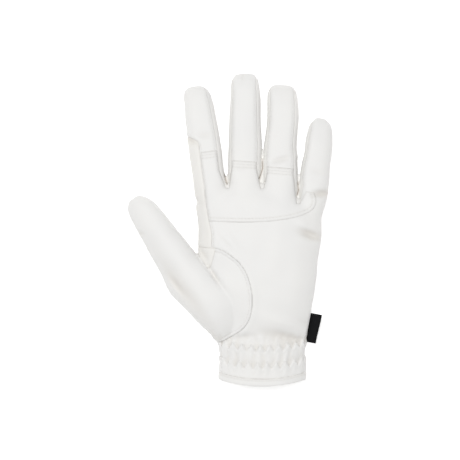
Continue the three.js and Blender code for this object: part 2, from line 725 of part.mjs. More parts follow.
const seamWalls = [
  curtain(palmOutline, 0).subtract(below),
  curtain([thumbLineEnd, new THREE.Vector2(farLeft, wristY)], 0).subtract(below),
  curtain([gusset[1], gusset[0]], 0).subtract(below),
  curtain([gusset[4], gusset[3], gusset[2], gusset[1]], 0).subtract(below),
  curtain(holeLine, -high, 0).translate(0, 0, high).intersect(below.add(thumbSheet(-high, 0))),
  seamSheet.subtract(thumbLow).subtract(cuffSides),
  thumbSheet(-seamGap / 2, seamGap / 2).intersect(thumbLow),
];

const panels = shell.subtract(wasm.Manifold.union(seamWalls)).subtract(hemArea(hemDepth + seamGap));
const upper = panels.subtract(below);
const backVolume = below.subtract(thumbLow).add(cuffSides);

const stripArea = prism([...stripLine, onFinger("index", 0, indexOutside), gusset[0]]);
const palmArea = prism(palmOutline);
const thumbTopArea = prism(thumbTop).subtract(below.subtract(thumbLow));
const thumbLowVolume = thumbLow.intersect(thumbSheet(-high, 0));

function fourchetteArea(i) {
  const a = limbFrame(fingers[names[i]]);
  const b = limbFrame(fingers[names[i + 1]]);
  const start = forks[i][0].clone().lerp(forks[i][1], 0.5).add(new THREE.Vector2(0, -forkRoom));
  const tipA = onFinger(names[i], 1, 0).addScaledVector(a.ahead, forkRoom);
  const tipB = onFinger(names[i + 1], 1, 0).addScaledVector(b.ahead, forkRoom);
  const rootA = onFinger(names[i], rootLook, 0);
  const rootB = onFinger(names[i + 1], rootLook, 0);
  return prism([rootA, start, rootB, tipB, tipA]);
}

// The patch covers the palm above its arc, and the roots of three fingers up to their creases
const patchOutline = [
  ...fingerSeam("index", stripSeam, stripStart, patchEnds.index, 4),
  ...fingerSeam("index", seamRight, patchEnds.index, fourchetteStart, 2),
  ...forks[0],
  ...fingerSeam("middle", seamLeft, fourchetteStart, patchEnds.middle, 1),
  ...fingerSeam("middle", seamRight, patchEnds.middle, fourchetteStart, 1),
  ...forks[1],
  ...fingerSeam("ring", seamLeft, fourchetteStart, patchEnds.ring, 1),
  ...fingerSeam("ring", seamRight, patchEnds.ring, fourchetteStart, 1),
  ...forks[2],
  onFinger("little", patchLittle.along, patchLittle.side),
  ...smooth(patchArc, 14).reverse(),
  ...stripSeamPalm.slice(3).map(onPalm),
];

// A mesh in the glove's group, from a solid
const glove = new THREE.Group();
function addPiece(name, solid, material) {
  const pieces = solid.decompose().sort((a, b) => b.volume() - a.volume());
  const mesh = pieces[0].getMesh();
  const geometry = new THREE.BufferGeometry();
  const vertices = new Float32Array(mesh.numVert * 3);
  for (let i = 0; i < mesh.numVert; i++) {
    vertices.set(mesh.vertProperties.subarray(i * mesh.numProp, i * mesh.numProp + 3), i * 3);
  }
  geometry.setAttribute("position", new THREE.BufferAttribute(vertices, 3));
  geometry.setIndex(new THREE.BufferAttribute(new Uint32Array(mesh.triVerts), 1));
  geometry.computeVertexNormals();
  const made = new THREE.Mesh(geometry, material);
  made.name = name;
  glove.add(made);
}

const leather = new THREE.MeshStandardMaterial({ color: 0xf0efed, roughness: 0.62 });
const stripLeather = new THREE.MeshStandardMaterial({ color: 0xf3f2ec, roughness: 0.6 });
const backFabric = new THREE.MeshStandardMaterial({ color: 0xf0eeea, roughness: 0.7 });
const ribbon = new THREE.MeshStandardMaterial({ color: 0x17171a, roughness: 0.8 });

addPiece("palm_panel", upper.intersect(palmArea), leather);
addPiece("back_panel", panels.intersect(backVolume), backFabric);
addPiece("index_side_strip", upper.intersect(stripArea), stripLeather);
addPiece("thumb_gusset", upper.intersect(prism(gusset)), stripLeather);
addPiece("thumb_front", panels.intersect(thumbTopArea).subtract(thumbLowVolume), leather);
addPiece("thumb_back", panels.intersect(thumbLowVolume), backFabric);
["index_middle", "middle_ring", "ring_little"].forEach((pair, i) => {
  addPiece(`fourchette_${pair}`, upper.subtract(palmArea).intersect(fourchetteArea(i)), leather);
});

const hem = handSolid(hemLift, 0, false).subtract(inner).intersect(hemArea(hemDepth));
addPiece("hem_band", hem, leather);

// The patch lies on the palm: the same surface, lifted
const patchArea = prism(patchOutline, 0).subtract(below).subtract(curtain(palmOutline));
const lifted = (by) => outer.translate(0, 0, by);
const patchBody = lifted(patchLift + patchThickness).subtract(lifted(patchLift));
addPiece("palm_patch", patchBody.intersect(patchArea), leather);

const labelGeometry = new THREE.BoxGeometry(labelWidth + labelTuck, labelLength, labelThickness);
labelGeometry.translate((labelWidth + labelTuck) / 2 - labelTuck, 0, 0);
labelGeometry.rotateZ(THREE.MathUtils.degToRad(-labelLean));
const labelPlace = onPalm({ across: labelAcross, along: labelAlong });
labelGeometry.translate(labelPlace.x, labelPlace.y, labelHeight);
addPiece("side_label", solidOf(labelGeometry).subtract(handSolid(seamGap, 0, true)), ribbon);

// The origin is on the floor below the middle of the glove
const box = new THREE.Box3().setFromObject(glove);
const middle = box.getCenter(new THREE.Vector3());
glove.position.set(-middle.x, -middle.y, -box.min.z);

export default glove;
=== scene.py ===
import math
from collections import namedtuple

import bmesh
import bpy
import numpy as np
from bpy.props import FloatProperty, FloatVectorProperty, PointerProperty
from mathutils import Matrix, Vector
from mathutils.bvhtree import BVHTree


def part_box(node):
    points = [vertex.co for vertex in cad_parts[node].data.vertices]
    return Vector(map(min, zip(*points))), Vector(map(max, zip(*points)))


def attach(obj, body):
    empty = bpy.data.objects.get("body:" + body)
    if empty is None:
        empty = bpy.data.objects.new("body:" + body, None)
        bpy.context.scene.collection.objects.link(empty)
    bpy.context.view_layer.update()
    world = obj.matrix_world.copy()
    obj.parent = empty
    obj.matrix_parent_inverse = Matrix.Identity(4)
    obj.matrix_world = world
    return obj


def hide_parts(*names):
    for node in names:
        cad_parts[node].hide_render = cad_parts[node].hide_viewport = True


bl_info = {
    "name": "Riding Glove",
    "version": (1, 0, 0),
    "blender": (4, 5, 0),
    "location": "View3D > Sidebar > Glove",
    "description": "Builds a riding glove of white leather, with its seams, stitching, label and studio",
    "category": "Object",
}

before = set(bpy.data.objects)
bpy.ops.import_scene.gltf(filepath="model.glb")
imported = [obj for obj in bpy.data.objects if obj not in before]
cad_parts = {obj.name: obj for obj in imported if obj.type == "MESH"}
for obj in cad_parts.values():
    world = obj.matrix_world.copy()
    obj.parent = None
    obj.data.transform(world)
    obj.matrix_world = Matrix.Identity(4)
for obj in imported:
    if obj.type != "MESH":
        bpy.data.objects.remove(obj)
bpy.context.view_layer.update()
BODY = "root"
MM = 0.001

# The palm, from the wrist line to the forks of the fingers, and the cuff below it
PALM_LENGTH = 120.5
PALM_WIDTH = 97
PALM_HEIGHT = 28
PALM_CENTRE = 23
PALM_POWER = 2.7
WRIST = -84
CUFF_LENGTH = 32.6
CUFF_WIDTH = 65.2
CUFF_HEIGHT = 26
CUFF_CENTRE = 24.2
CUFF_POWER = 2.35
HEM_BOW = 4.9
HEM_POWER = 2.2
HEM_DEPTH = 5.4
HEM = WRIST - CUFF_LENGTH

# The model's frame has its origin below the middle of the glove
HEM_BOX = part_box("hem_band")
SHIFT = np.array([(HEM_BOX[0].x + HEM_BOX[1].x) / 2 / MM - CUFF_CENTRE, HEM_BOX[0].y / MM - HEM, 0])

# Fingers: root across and along the palm as shares of it, tilt in degrees, length, width, height
FINGER_POWER = 2.9
Limb = namedtuple("Limb", "across along tilt length width height")
FINGERS = {
    "index": Limb(-0.362, 0.8133, 8.1, 94.9, 24.4, 23),
    "middle": Limb(-0.12, 0.8133, 0, 103, 25, 23.5),
    "ring": Limb(0.1442, 0.7967, -1.75, 96.5, 26.4, 23),
    "little": Limb(0.3845, 0.7635, -6.5, 76.2, 22.4, 21),
}
THUMB = Limb(-0.219, -0.0133, 33.85, 132, 31, 29.5)
THUMB_POWER = 2.2

# Sections of each finger: along its length; shift and width as shares of its width;
# top and bottom as shares of its height
FINGER_SECTIONS = {
    "index": [
        (0, 0.05, 0.72, 0.86, -0.05),
        (0.12, 0, 1, 0.98, -0.05),
        (0.21, 0, 1.01, 0.96, -0.05),
        (0.28, -0.01, 0.985, 0.92, -0.04),
        (0.37, -0.01, 0.985, 0.86, -0.04),
        (0.46, 0, 1, 0.82, -0.04),
        (0.56, 0.01, 0.99, 0.78, -0.04),
        (0.65, 0.01, 0.965, 0.76, -0.04),
        (0.76, 0, 0.945, 0.73, -0.04),
        (0.87, 0, 0.885, 0.68, -0.03),
        (0.945, -0.02, 0.79, 0.61, 0.03),
        (0.985, -0.04, 0.62, 0.52, 0.1),
        (1, -0.05, 0.44, 0.43, 0.19),
    ],
    "middle": [
        (0, 0, 0.8, 0.92, -0.05),
        (0.12, 0, 0.97, 0.99, -0.05),
        (0.195, 0, 0.99, 0.95, -0.05),
        (0.25, -0.01, 0.98, 0.92, -0.04),
        (0.37, -0.005, 0.985, 0.85, -0.04),
        (0.46, 0, 0.995, 0.82, -0.04),
        (0.55, 0, 0.99, 0.79, -0.04),
        (0.64, 0, 0.95, 0.77, -0.04),
        (0.75, 0.005, 0.925, 0.74, -0.04),
        (0.85, 0.005, 0.895, 0.7, -0.03),
        (0.93, 0, 0.84, 0.65, 0),
        (0.975, 0, 0.74, 0.57, 0.06),
        (1, 0, 0.56, 0.46, 0.17),
    ],
    "ring": [
        (0, 0, 0.8, 0.92, -0.05),
        (0.12, 0, 0.96, 0.99, -0.05),
        (0.22, 0.005, 0.975, 0.95, -0.05),
        (0.32, 0.01, 0.985, 0.89, -0.04),
        (0.42, 0, 0.985, 0.83, -0.04),
        (0.52, -0.02, 0.93, 0.8, -0.04),
        (0.61, -0.01, 0.905, 0.78, -0.04),
        (0.7, 0.015, 0.895, 0.76, -0.04),
        (0.79, 0.02, 0.895, 0.73, -0.04),
        (0.88, 0.01, 0.87, 0.69, -0.03),
        (0.945, -0.01, 0.81, 0.63, 0.02),
        (0.98, -0.015, 0.7, 0.55, 0.08),
        (1, -0.02, 0.52, 0.45, 0.18),
    ],
    "little": [
        (0, -0.03, 0.74, 0.93, -0.05),
        (0.12, 0, 0.905, 1.01, -0.05),
        (0.22, 0.02, 0.94, 0.99, -0.05),
        (0.32, 0.01, 0.96, 0.95, -0.05),
        (0.42, -0.01, 0.99, 0.9, -0.05),
        (0.53, -0.01, 0.955, 0.86, -0.05),
        (0.65, 0.015, 0.92, 0.82, -0.04),
        (0.77, 0.015, 0.895, 0.78, -0.04),
        (0.86, 0.01, 0.84, 0.73, -0.02),
        (0.93, 0, 0.73, 0.66, 0.03),
        (0.975, -0.01, 0.54, 0.57, 0.1),
        (1, -0.02, 0.34, 0.47, 0.2),
    ],
}

# Sections of the thumb: along; left and right as shares of its width; top and bottom as shares of its height;
# roll in degrees
THUMB_SECTIONS = [
    (0, 0.16, 0.5, 0.62, 0.2, 0),
    (0.07, 0.26, 0.74, 0.81, 0.14, 0),
    (0.165, 0.355, 0.87, 0.945, 0.11, 1),
    (0.26, 0.425, 0.81, 0.985, 0.11, 3),
    (0.36, 0.5, 0.69, 0.965, 0.1, 6),
    (0.44, 0.558, 0.585, 0.93, 0.085, 8.5),
    (0.56, 0.49, 0.505, 0.85, 0.05, 12),
    (0.64, 0.458, 0.475, 0.79, 0.03, 12),
    (0.72, 0.44, 0.435, 0.73, 0.01, 12),
    (0.8, 0.405, 0.41, 0.67, -0.02, 11),
    (0.87, 0.372, 0.385, 0.62, -0.03, 10),
    (0.94, 0.335, 0.33, 0.56, 0, 8),
    (0.975, 0.275, 0.25, 0.5, 0.05, 8),
    (1, 0.17, 0.15, 0.42, 0.12, 8),
]

# Sections of the palm: along; left and right of its centre line; top and bottom of its height
PALM_SECTIONS = [
    (0, -0.33, 0.357, 0.87, -0.05),
    (0.059, -0.347, 0.366, 0.895, -0.05),
    (0.137, -0.363, 0.379, 0.94, -0.05),
    (0.225, -0.393, 0.399, 0.98, -0.05),
    (0.313, -0.427, 0.419, 1, -0.05),
    (0.411, -0.457, 0.434, 1, -0.05),
    (0.509, -0.48, 0.446, 0.985, -0.05),
    (0.607, -0.486, 0.465, 0.97, -0.05),
    (0.705, -0.482, 0.475, 0.94, -0.05),
    (0.793, -0.49, 0.477, 0.91, -0.05),
    (0.862, -0.5, 0.482, 0.88, -0.04),
    (0.925, -0.498, 0.482, 0.82, -0.03),
    (1, -0.46, 0.445, 0.62, 0.1),
]
FORK_PEAK = -0.129
FORK_DROP = 18.3
FORK_FROM = 0.72

# Sections of the cuff from its hem: along; width and height as shares of the cuff's
CUFF_SECTIONS = [
    (-0.2, 0.994, 1),
    (0, 0.994, 1),
    (0.09, 1, 1),
    (0.18, 1.002, 0.99),
    (0.27, 1.004, 0.975),
    (0.38, 0.998, 0.96),
    (0.5, 0.985, 0.95),
    (0.62, 0.98, 0.94),
    (0.75, 0.985, 0.935),
    (0.9, 0.995, 0.935),
]

# Seams on the fingers: sides as shares of the half width, ends of the side walls as shares of the length
SEAM_LEFT = -0.84
SEAM_RIGHT = 0.76
STRIP_SEAM = -0.34
STRIP_TOP = 0.57
WALL_START = 0.31
WALL_END = 0.9
# How a wall's seam runs out to the edge at the tip: along, and as a share of where the seam is lower down
WALL_TAPER = [(0.905, 1.0), (0.93, 1.03), (0.955, 1.09), (0.975, 1.2), (0.985, 1.45)]
# The bottom of each fork's seam: how far below the fork, and how wide
FORK_SEAM_DROP = 3.6
FORK_SEAM_WIDTH = 2.3

# Seams of the palm, as shares across and along it
THUMB_SEAM = [
    (-0.345, 0.585), (-0.296, 0.573), (-0.222, 0.536), (-0.16, 0.492), (-0.106, 0.423), (-0.075, 0.343),
    (-0.063, 0.261), (-0.071, 0.187), (-0.098, 0.124), (-0.152, 0.074), (-0.222, 0.037), (-0.303, 0),
]
STRIP_SEAM_PALM = [(-0.38, 0.597), (-0.376, 0.666), (-0.392, 0.729), (-0.407, 0.79), (-0.423, 0.853)]
GUSSET = [(-0.5, 0.595), (-0.345, 0.585), (-0.384, 0.473), (-0.407, 0.46), (-0.485, 0.55)]
THUMB_HOLE = [
    (-0.485, 0.55), (-0.497, 0.49), (-0.474, 0.392), (-0.44, 0.284),
    (-0.396, 0.166), (-0.358, 0.039), (-0.362, -0.01), (-0.44, -0.039),
]
PATCH_ARC = [
    (-0.399, 0.753), (-0.237, 0.747), (-0.044, 0.747), (0.149, 0.759), (0.281, 0.78),
    (0.351, 0.8), (0.397, 0.822), (0.424, 0.853), (0.428, 0.896), (0.412, 0.933),
]
# Where the patch ends on each finger, as a share of its length, and its rows of stitching below that end
PATCH_ENDS = {"index": 0.478, "middle": 0.374, "ring": 0.369}
PATCH_END_ROWS = (-0.5, -2.7, -4.9)
PATCH_INSET = 0.05
PATCH_SLANT = 0.012
# Height of the side seam: along the palm, and as a share of its height
SIDE_SEAM = [(-0.392, 0.44), (0, 0.42), (0.685, 0.36), (0.93, 0.2), (1.077, 0.165), (1.861, 0.165)]
# Height of the thumb's side seam at its root and at its tip
THUMB_SIDE_SEAM = (15.5, 7.5)
CUFF_SEAM_INSET = 2

# Rows of stitching beside the seams, to the left of a line for a positive distance
STITCH_LEFT = -1.0
STITCH_RIGHT = 1.8
STITCH_THUMB = -2.3
STITCH_STRIP = -1.4
STITCH_ARC = 2.7
# The hem's row of stitching and its groove, below the upper edge of the band
STITCH_HEM = 1.3
HEM_ROW_AT = 1.4

# Dents and soft folds of the top: place, angle from X, half length, half width, depth (below zero: a swell)
FOLDS = [
    (60.5, -3.5, -22, 8, 3.2, 3.6),
    (56, 4, -35, 7, 3, -0.6),
    (43, -80.2, -15, 14, 3.6, 2.6),
    (41.5, -69.5, -16, 14, 4.2, -0.9),
    (8, -80, 8, 11, 2.6, 1.2),
    (56, -70, -30, 6, 2.2, 0.8),
    (30, -80, -30, 8, 2.6, 0.7),
    (69.6, 27.5, 4, 7, 2.6, 3.2),
    (-11.8, -33.8, -58, 9, 1.7, 2.2),
    (-1.5, -42, -53, 14, 5, -0.8),
    (-20.1, -18, -60, 5, 2, 1.5),
    (-66.6, -2.2, -25, 3, 1.5, 1.2),
    (-40.4, -40.5, -52, 9, 2.4, 1.6),
    (-33.5, -46, -53, 30, 4.5, 1.5),
    (38.4, 53, 14, 8, 2, 1.1),
    (-29.1, 66.8, -35, 5, 2, 2.2),
    (-18.6, 71.3, 8, 9, 2.2, 0.6),
    (9.9, 115.5, 90, 3, 1.4, 0.8),
    (-1.4, -11.2, -46, 9, 1.3, 0.4),
    (4.6, -8.2, -52, 9, 1.3, 0.3),
    (10, 47, 6, 9, 2, 0.35),
    (66, 44, -12, 7, 2.2, 0.5),
]
# The side label: its middle on the little-finger edge, its height above the floor and its lean in degrees
LABEL_PLACE = (59.4, -73.0)
LABEL_HEIGHT = 11.5
LABEL_LEAN = 10
LABEL_WIDTH = 7.6
LABEL_ROWS = 23
# Half the gap inside the folded label, how far it goes into the seam and how thick the ribbon is
LABEL_LOOP = 0.5
LABEL_ROOT = 1.2
LABEL_RIBBON = 0.28
# How much its free edge curls up and sways along its length
LABEL_CURL = 0.8
LABEL_SWAY = 0.45

# The slit between each pair of fingers, which they close up to: points in millimetres, and half its width
SLITS = [
    [(-4.6, 44), (-2.1, 34.5)],
    [(25.1, 62), (24.3, 54), (24.6, 46.5), (22.2, 38.5)],
    [(51.6, 60), (49.9, 52.5), (50.8, 39), (51.5, 30), (50.6, 26.5)],
]
SLIT_HALF = 0.62
# Below these places the leather of two fingers closes the slit, deep inside it
SLIT_CLOSED = (43, 54, 37)
# How far the fingers lap over each other there, between which heights, and from how far they are pulled in
SLIT_LAP = 0.6
SLIT_FLOOR = (10.5, 13.5)
SLIT_PULL = 2.6
# The painted shade in a slit: half its width, and the height where it has faded out
CLEFT_HALF = 0.55
CLEFT_TOP = 19.5

# Rows of elastic stitching round the cuff: height above the hem, half the height of the zigzag
ELASTIC_ROWS = [(15.9, 2.5), (28.8, 2.5)]
GATHER_COUNT = 22
# How far one row's peaks stand beside the other's, in gathers, and how the puckers narrow on its slopes
ROW_SHIFT = 0.3
ZIGZAG_SLOPE = 0.62
# The pleats' depth, and the heights above the hem where they begin and end
PLEAT_DEPTH = 0.38
PLEAT_FROM = 6.5
PLEAT_TO = 40

# Relief beside a line: height (below zero for a groove), half width and, where given, distance from the line
SEAM_GROOVE = (-0.22, 0.6)
SEAM_PUFF = (0.14, 1.3, 2.6)
STITCH_GROOVE = (-0.14, 0.55)
PIPING_PUFF = (0.62, 0.7)
PIPING_GROOVE = (-0.22, 0.6)
SIDE_GROOVE = (-0.45, 0.9)
HEM_ROW_GROOVE = (-0.3, 0.5)
HEM_EDGE_GROOVE = (-0.3, 0.6)
ZIGZAG_GROOVE = (-0.5, 0.5)
ZIGZAG_PUFF = (0.5, 1.1, -1.4)
ZIGZAG_HOLLOW = (-0.42, 1.1, 1.3)
PATCH_EDGE_GROOVE = (-0.5, 0.8)
PATCH_STITCH_GROOVE = (-0.22, 0.55)
# The raised seam round the thumb and the groove inside it, to the right of the seam
PIPING_AT = -1.2
PIPING_GROOVE_AT = -2.4

# How strongly each relief darkens the leather with painted shade, by its depth in millimetres, and how
# strongly a slit does
FOLD_PAINTED_SHADE = 0.42
SEAM_PAINTED_SHADE = 1.5
GATHER_PAINTED_SHADE = 1.1
CLEFT_PAINTED_SHADE = 4
# Painted shade darkens the flanks below this height, over this much of it, to this share
FLANK_HEIGHT = 8
FLANK_FADE = 6
FLANK_PAINTED_SHADE = 0.6
# Painted shade beside the patch's stitches and its edge: share and half width
PATCH_STITCH_PAINTED_SHADE = (0.4, 0.6)
PATCH_EDGE_PAINTED_SHADE = (0.5, 0.5)

# Points round the palm, a finger and the thumb, and rounds of smoothing
PALM_COUNT = 160
FINGER_COUNT = 56
THUMB_COUNT = 72
SKIN_ROUNDS = 14
ROOT_ROUNDS = 45
# Extra smoothing at the finger roots: place along the palm, half its reach, and the height it starts from;
# then the same for the palm's outer edge, with the place across that it starts from
SMOOTH_ROOTS = (20, 13, 16)
SMOOTH_EDGE = (12, 11, 63)

# Extra wall of the hem band, and how much of it lies outside the skin
HEM_EXTRA = 0.4
HEM_OUTWARD = 0.5
# Clearance under the palm patch, and the lowest point that it takes
PATCH_CLEARANCE = 0.12
PATCH_LOWEST = 15
# How far a fingertip's dome rises past its last section, and from one section of the skin to the next
DOME_RISE = 0.8
RING_STEP = 1.5
FLOOR = 0.0


def curve_through(along, values, at):
    """Values on a smooth curve through the rows of a table."""
    along = np.asarray(along, float)
    values = np.asarray(values, float)
    slope = np.gradient(values, along)
    k = np.clip(np.searchsorted(along, at, side="right") - 1, 0, len(along) - 2)
    step = along[k + 1] - along[k]
    t = (at - along[k]) / step
    return (
        values[k] * (2 * t**3 - 3 * t**2 + 1)
        + slope[k] * step * (t**3 - 2 * t**2 + t)
        + values[k + 1] * (3 * t**2 - 2 * t**3)
        + slope[k + 1] * step * (t**3 - t**2)
    )


def on_palm(share):
    """A point of the plan, at shares across and along the palm."""
    return np.array([PALM_CENTRE + share[0] * PALM_WIDTH, WRIST + share[1] * PALM_LENGTH])


def limb_frame(limb):
    """Root of a finger or thumb, the way it points and the way across it."""
    tilt = math.radians(limb.tilt)
    ahead = np.array([-math.sin(tilt), math.cos(tilt)])
    across = np.array([math.cos(tilt), math.sin(tilt)])
    return on_palm(limb), ahead, across


def on_finger(name, along, side):
    """A point on a finger, at a share of its length and of its half width."""
    finger = FINGERS[name]
    rows = np.array(FINGER_SECTIONS[name])
    root, ahead, across = limb_frame(finger)
    shift = np.interp(along, rows[:, 0], rows[:, 1])
    width = np.interp(along, rows[:, 0], rows[:, 2])
    return root + ahead * along * finger.length + across * (shift + side * width / 2) * finger.width


def finger_seam(name, side, start, end, steps=16):
    """A line along a finger, at a share of its half width."""
    return [on_finger(name, at, side) for at in np.linspace(start, end, steps + 1)]


def run_along(line):
    """How far along a line each of its points is."""
    return np.concatenate([[0], np.cumsum(np.linalg.norm(np.diff(line, axis=0), axis=1))])


def point_at(at, run, line):
    """The point of a line at a distance along it."""
    return np.array([np.interp(at, run, line[:, k]) for k in range(line.shape[1])])


def spline(points, count=40):
    """A smooth line through points in the plan."""
    points = np.array(points, float)
    run = run_along(points)
    at = np.linspace(0, run[-1], count + 1)
    across = curve_through(run, points[:, 0], at)
    along = curve_through(run, points[:, 1], at)
    return list(np.stack([across, along], axis=1))


def smooth_on_palm(rows, count=40):
    """A smooth line through points given as shares of the palm."""
    return spline([on_palm(row) for row in rows], count)


NAMES = list(FINGERS)


def fork_points(left, right):
    """Where the seams of two neighbouring fingers meet below their fork."""
    x = (on_finger(left, 0.2, 1)[0] + on_finger(right, 0.2, -1)[0]) / 2
    across = (x - PALM_CENTRE) / PALM_WIDTH
    y = WRIST + PALM_LENGTH - FORK_DROP * ((across - FORK_PEAK) * 2) ** 2 - FORK_SEAM_DROP
    return [np.array([x + side * FORK_SEAM_WIDTH, y]) for side in (-0.5, 0.5)]


FORKS = [fork_points(a, b) for a, b in zip(NAMES, NAMES[1:])]


def seam_up(name, side):
    """The seam of a finger's side wall, from its fork to near its tip."""
    return finger_seam(name, side, WALL_START, WALL_END - 0.02)


def round_finger(name, left, right):
    """Up one side of a finger, out round its tip and down the other side."""
    ahead, across = limb_frame(FINGERS[name])[1:]
    tip = on_finger(name, 1, 0) + ahead * 12
    half = FINGERS[name].width * 0.53
    line = list(left)
    if left:
        line += [on_finger(name, at, SEAM_LEFT * side) for at, side in WALL_TAPER]
    line += [tip - across * half, tip + across * half]
    if right:
        line += [on_finger(name, at, SEAM_RIGHT * side) for at, side in WALL_TAPER[::-1]]
    return line + list(right)


# The strip's seam up the palm and the index finger, and round its corner out to the finger's edge
STRIP_LINE = [
    *smooth_on_palm(STRIP_SEAM_PALM, 12),
    *finger_seam("index", STRIP_SEAM, 0.22, STRIP_TOP - 0.02),
    on_finger("index", STRIP_TOP, STRIP_SEAM - 0.08),
    on_finger("index", STRIP_TOP + 0.025, STRIP_SEAM - 0.4),
    on_finger("index", STRIP_TOP + 0.045, -1),
    on_finger("index", STRIP_TOP + 0.05, -1.6),
]
THUMB_LINE = smooth_on_palm(THUMB_SEAM)
CUFF_HALF = CUFF_WIDTH / 2 - CUFF_SEAM_INSET
FAR_LEFT = -250
CUFF_LOW = HEM - 20

# The panels in the plan; the points beyond the edge of the hand only close their outlines
PALM_OUTLINE = [
    np.array([CUFF_CENTRE + CUFF_HALF, CUFF_LOW]),
    np.array([CUFF_CENTRE + CUFF_HALF, WRIST - 1]),
    np.array([CUFF_CENTRE + CUFF_WIDTH, WRIST + 2]),
    np.array([PALM_CENTRE + PALM_WIDTH, WRIST]),
    on_finger("little", 0.3, 2.4),
    *round_finger("little", seam_up("little", SEAM_LEFT), [])[::-1],
    *FORKS[2][::-1],
    *round_finger("ring", seam_up("ring", SEAM_LEFT), seam_up("ring", SEAM_RIGHT)[::-1])[::-1],
    *FORKS[1][::-1],
    *round_finger("middle", seam_up("middle", SEAM_LEFT), seam_up("middle", SEAM_RIGHT)[::-1])[::-1],
    *FORKS[0][::-1],
    *round_finger("index", [], seam_up("index", SEAM_RIGHT)[::-1])[::-1],
    *STRIP_LINE[::-1],
    *THUMB_LINE,
    np.array([CUFF_CENTRE - CUFF_HALF, CUFF_LOW]),
]
GUSSET_OUTLINE = [on_palm(corner) for corner in GUSSET]
THUMB_ROOT, THUMB_AHEAD = limb_frame(THUMB)[:2]
THUMB_TIP = THUMB_ROOT + THUMB_AHEAD * THUMB.length
BEYOND_THUMB = THUMB_TIP[1] + THUMB.width
# The middle of the gap between the thumb and the index finger, beyond the thumb's tip
BESIDE_THUMB = -45
THUMB_TOP = [
    *THUMB_LINE,
    np.array([FAR_LEFT, WRIST]),
    np.array([FAR_LEFT, BEYOND_THUMB]),
    np.array([BESIDE_THUMB, BEYOND_THUMB]),
    *GUSSET_OUTLINE[:1:-1],
]
THUMB_LOW = [
    *smooth_on_palm(THUMB_HOLE, 30),
    np.array([FAR_LEFT, HEM]),
    np.array([FAR_LEFT, BEYOND_THUMB]),
    np.array([BESIDE_THUMB, BEYOND_THUMB]),
]
STRIP_OUTLINE = [*STRIP_LINE, on_finger("index", 0, -2.4), *GUSSET_OUTLINE[:2]]


def nearest_on_line(points, line, closed=False):
    """Distance from each point in the plan to a line, and how far along the line it is."""
    line = np.array(line)
    ends = np.roll(line, -1, axis=0) if closed else line[1:]
    starts = line if closed else line[:-1]
    best = np.full(len(points), np.inf)
    along = np.zeros(len(points))
    run = 0.0
    for a, b in zip(starts, ends):
        side = b - a
        length = np.hypot(*side)
        if length == 0:
            continue
        t = np.clip((points - a) @ side / length**2, 0, 1)
        gap = np.hypot(points[:, 0] - a[0] - t * side[0], points[:, 1] - a[1] - t * side[1])
        nearer = gap < best
        best[nearer] = gap[nearer]
        along[nearer] = run + t[nearer] * length
        run += length
    return best, along


def inside(points, outline):
    """Whether each point in the plan lies inside a closed outline."""
    outline = np.array(outline)
    within = np.zeros(len(points), bool)
    x, y = points[:, 0], points[:, 1]
    for a, b in zip(outline, np.roll(outline, -1, axis=0)):
        if a[1] == b[1]:
            continue
        crosses = (a[1] > y) != (b[1] > y)
        within ^= crosses & (x < (b[0] - a[0]) * (y - a[1]) / (b[1] - a[1]) + a[0])
    return within


def depth_inside(points, outline):
    """Distance to a closed outline, positive inside it."""
    gap = nearest_on_line(points[:, :2], outline, closed=True)[0]
    return np.where(inside(points[:, :2], outline), gap, -gap)


def above_hem(points, rise=0.0):
    """Distance above the bowed hem line, or above a line that follows it."""
    across = np.abs(points[:, 0] - CUFF_CENTRE) * 2 / CUFF_WIDTH
    return points[:, 1] - (HEM + rise + HEM_BOW * across**HEM_POWER)


def above_side_seam(points):
    """Height above the seam between the palm and the back, all round the hand."""
    rows = np.array(SIDE_SEAM)
    return points[:, 2] - np.interp(points[:, 1], WRIST + rows[:, 0] * PALM_LENGTH, rows[:, 1] * PALM_HEIGHT)


def above_thumb_seam(points):
    """Height above the seam between the thumb's front and its back."""
    along = (points[:, :2] - THUMB_ROOT) @ THUMB_AHEAD
    root, tip = THUMB_SIDE_SEAM
    return points[:, 2] - (root + (tip - root) * along / THUMB.length)


def beside_cuff(points):
    """How far a point lies outside the side seams of the cuff, below the wrist line."""
    outside = np.abs(points[:, 0] - CUFF_CENTRE) - CUFF_HALF
    return np.minimum(outside, WRIST - points[:, 1])


def rounded_ring(centre, across, left, right, top, bottom, power, count, roll=0.0, bow=None):
    """The points of one rounded section, evenly spaced, in millimetres."""
    angle = np.linspace(0, 2 * np.pi, 12 * count + 1)
    c, s = np.cos(angle), np.sin(angle)
    side = np.where(c > 0, right, left)
    half = (top - bottom) / 2
    u = np.sign(c) * np.abs(c) ** (2 / power) * side
    w = np.sign(s) * np.abs(s) ** (2 / power) * half
    run = np.concatenate([[0], np.cumsum(np.hypot(np.diff(u), np.diff(w)))])
    at = np.linspace(0, run[-1], count, endpoint=False)
    u, w = np.interp(at, run, u), np.interp(at, run, w)
    turn = math.radians(roll)
    u, w = u * math.cos(turn) - w * math.sin(turn), u * math.sin(turn) + w * math.cos(turn)
    x = centre[0] + across[0] * u
    y = centre[1] + across[1] * u
    if bow is not None:
        y = y + bow(x)
    return np.stack([x, y, np.maximum((top + bottom) / 2 + w, FLOOR)], axis=1)


def loft(rings, name):
    """A closed mesh through rings of points, with its ends zipped from right to left."""
    count = len(rings[0])
    points = np.concatenate(rings)
    faces = []
    for r in range(len(rings) - 1):
        for i in range(count):
            j = (i + 1) % count
            faces.append((r * count + i, r * count + j, (r + 1) * count + j, (r + 1) * count + i))
    last = (len(rings) - 1) * count
    for i in range(count // 2):
        a, b, c, d = i, i + 1, (count - i - 1) % count, (count - i) % count
        faces.append(tuple(dict.fromkeys((a, d, c, b))))
        faces.append(tuple(last + k for k in dict.fromkeys((a, b, c, d))))
    mesh = bpy.data.meshes.new(name)
    mesh.from_pydata((points * MM).tolist(), [], [face for face in faces if len(face) > 2])
    made = bpy.data.objects.new(name, mesh)
    bpy.context.collection.objects.link(made)
    return made


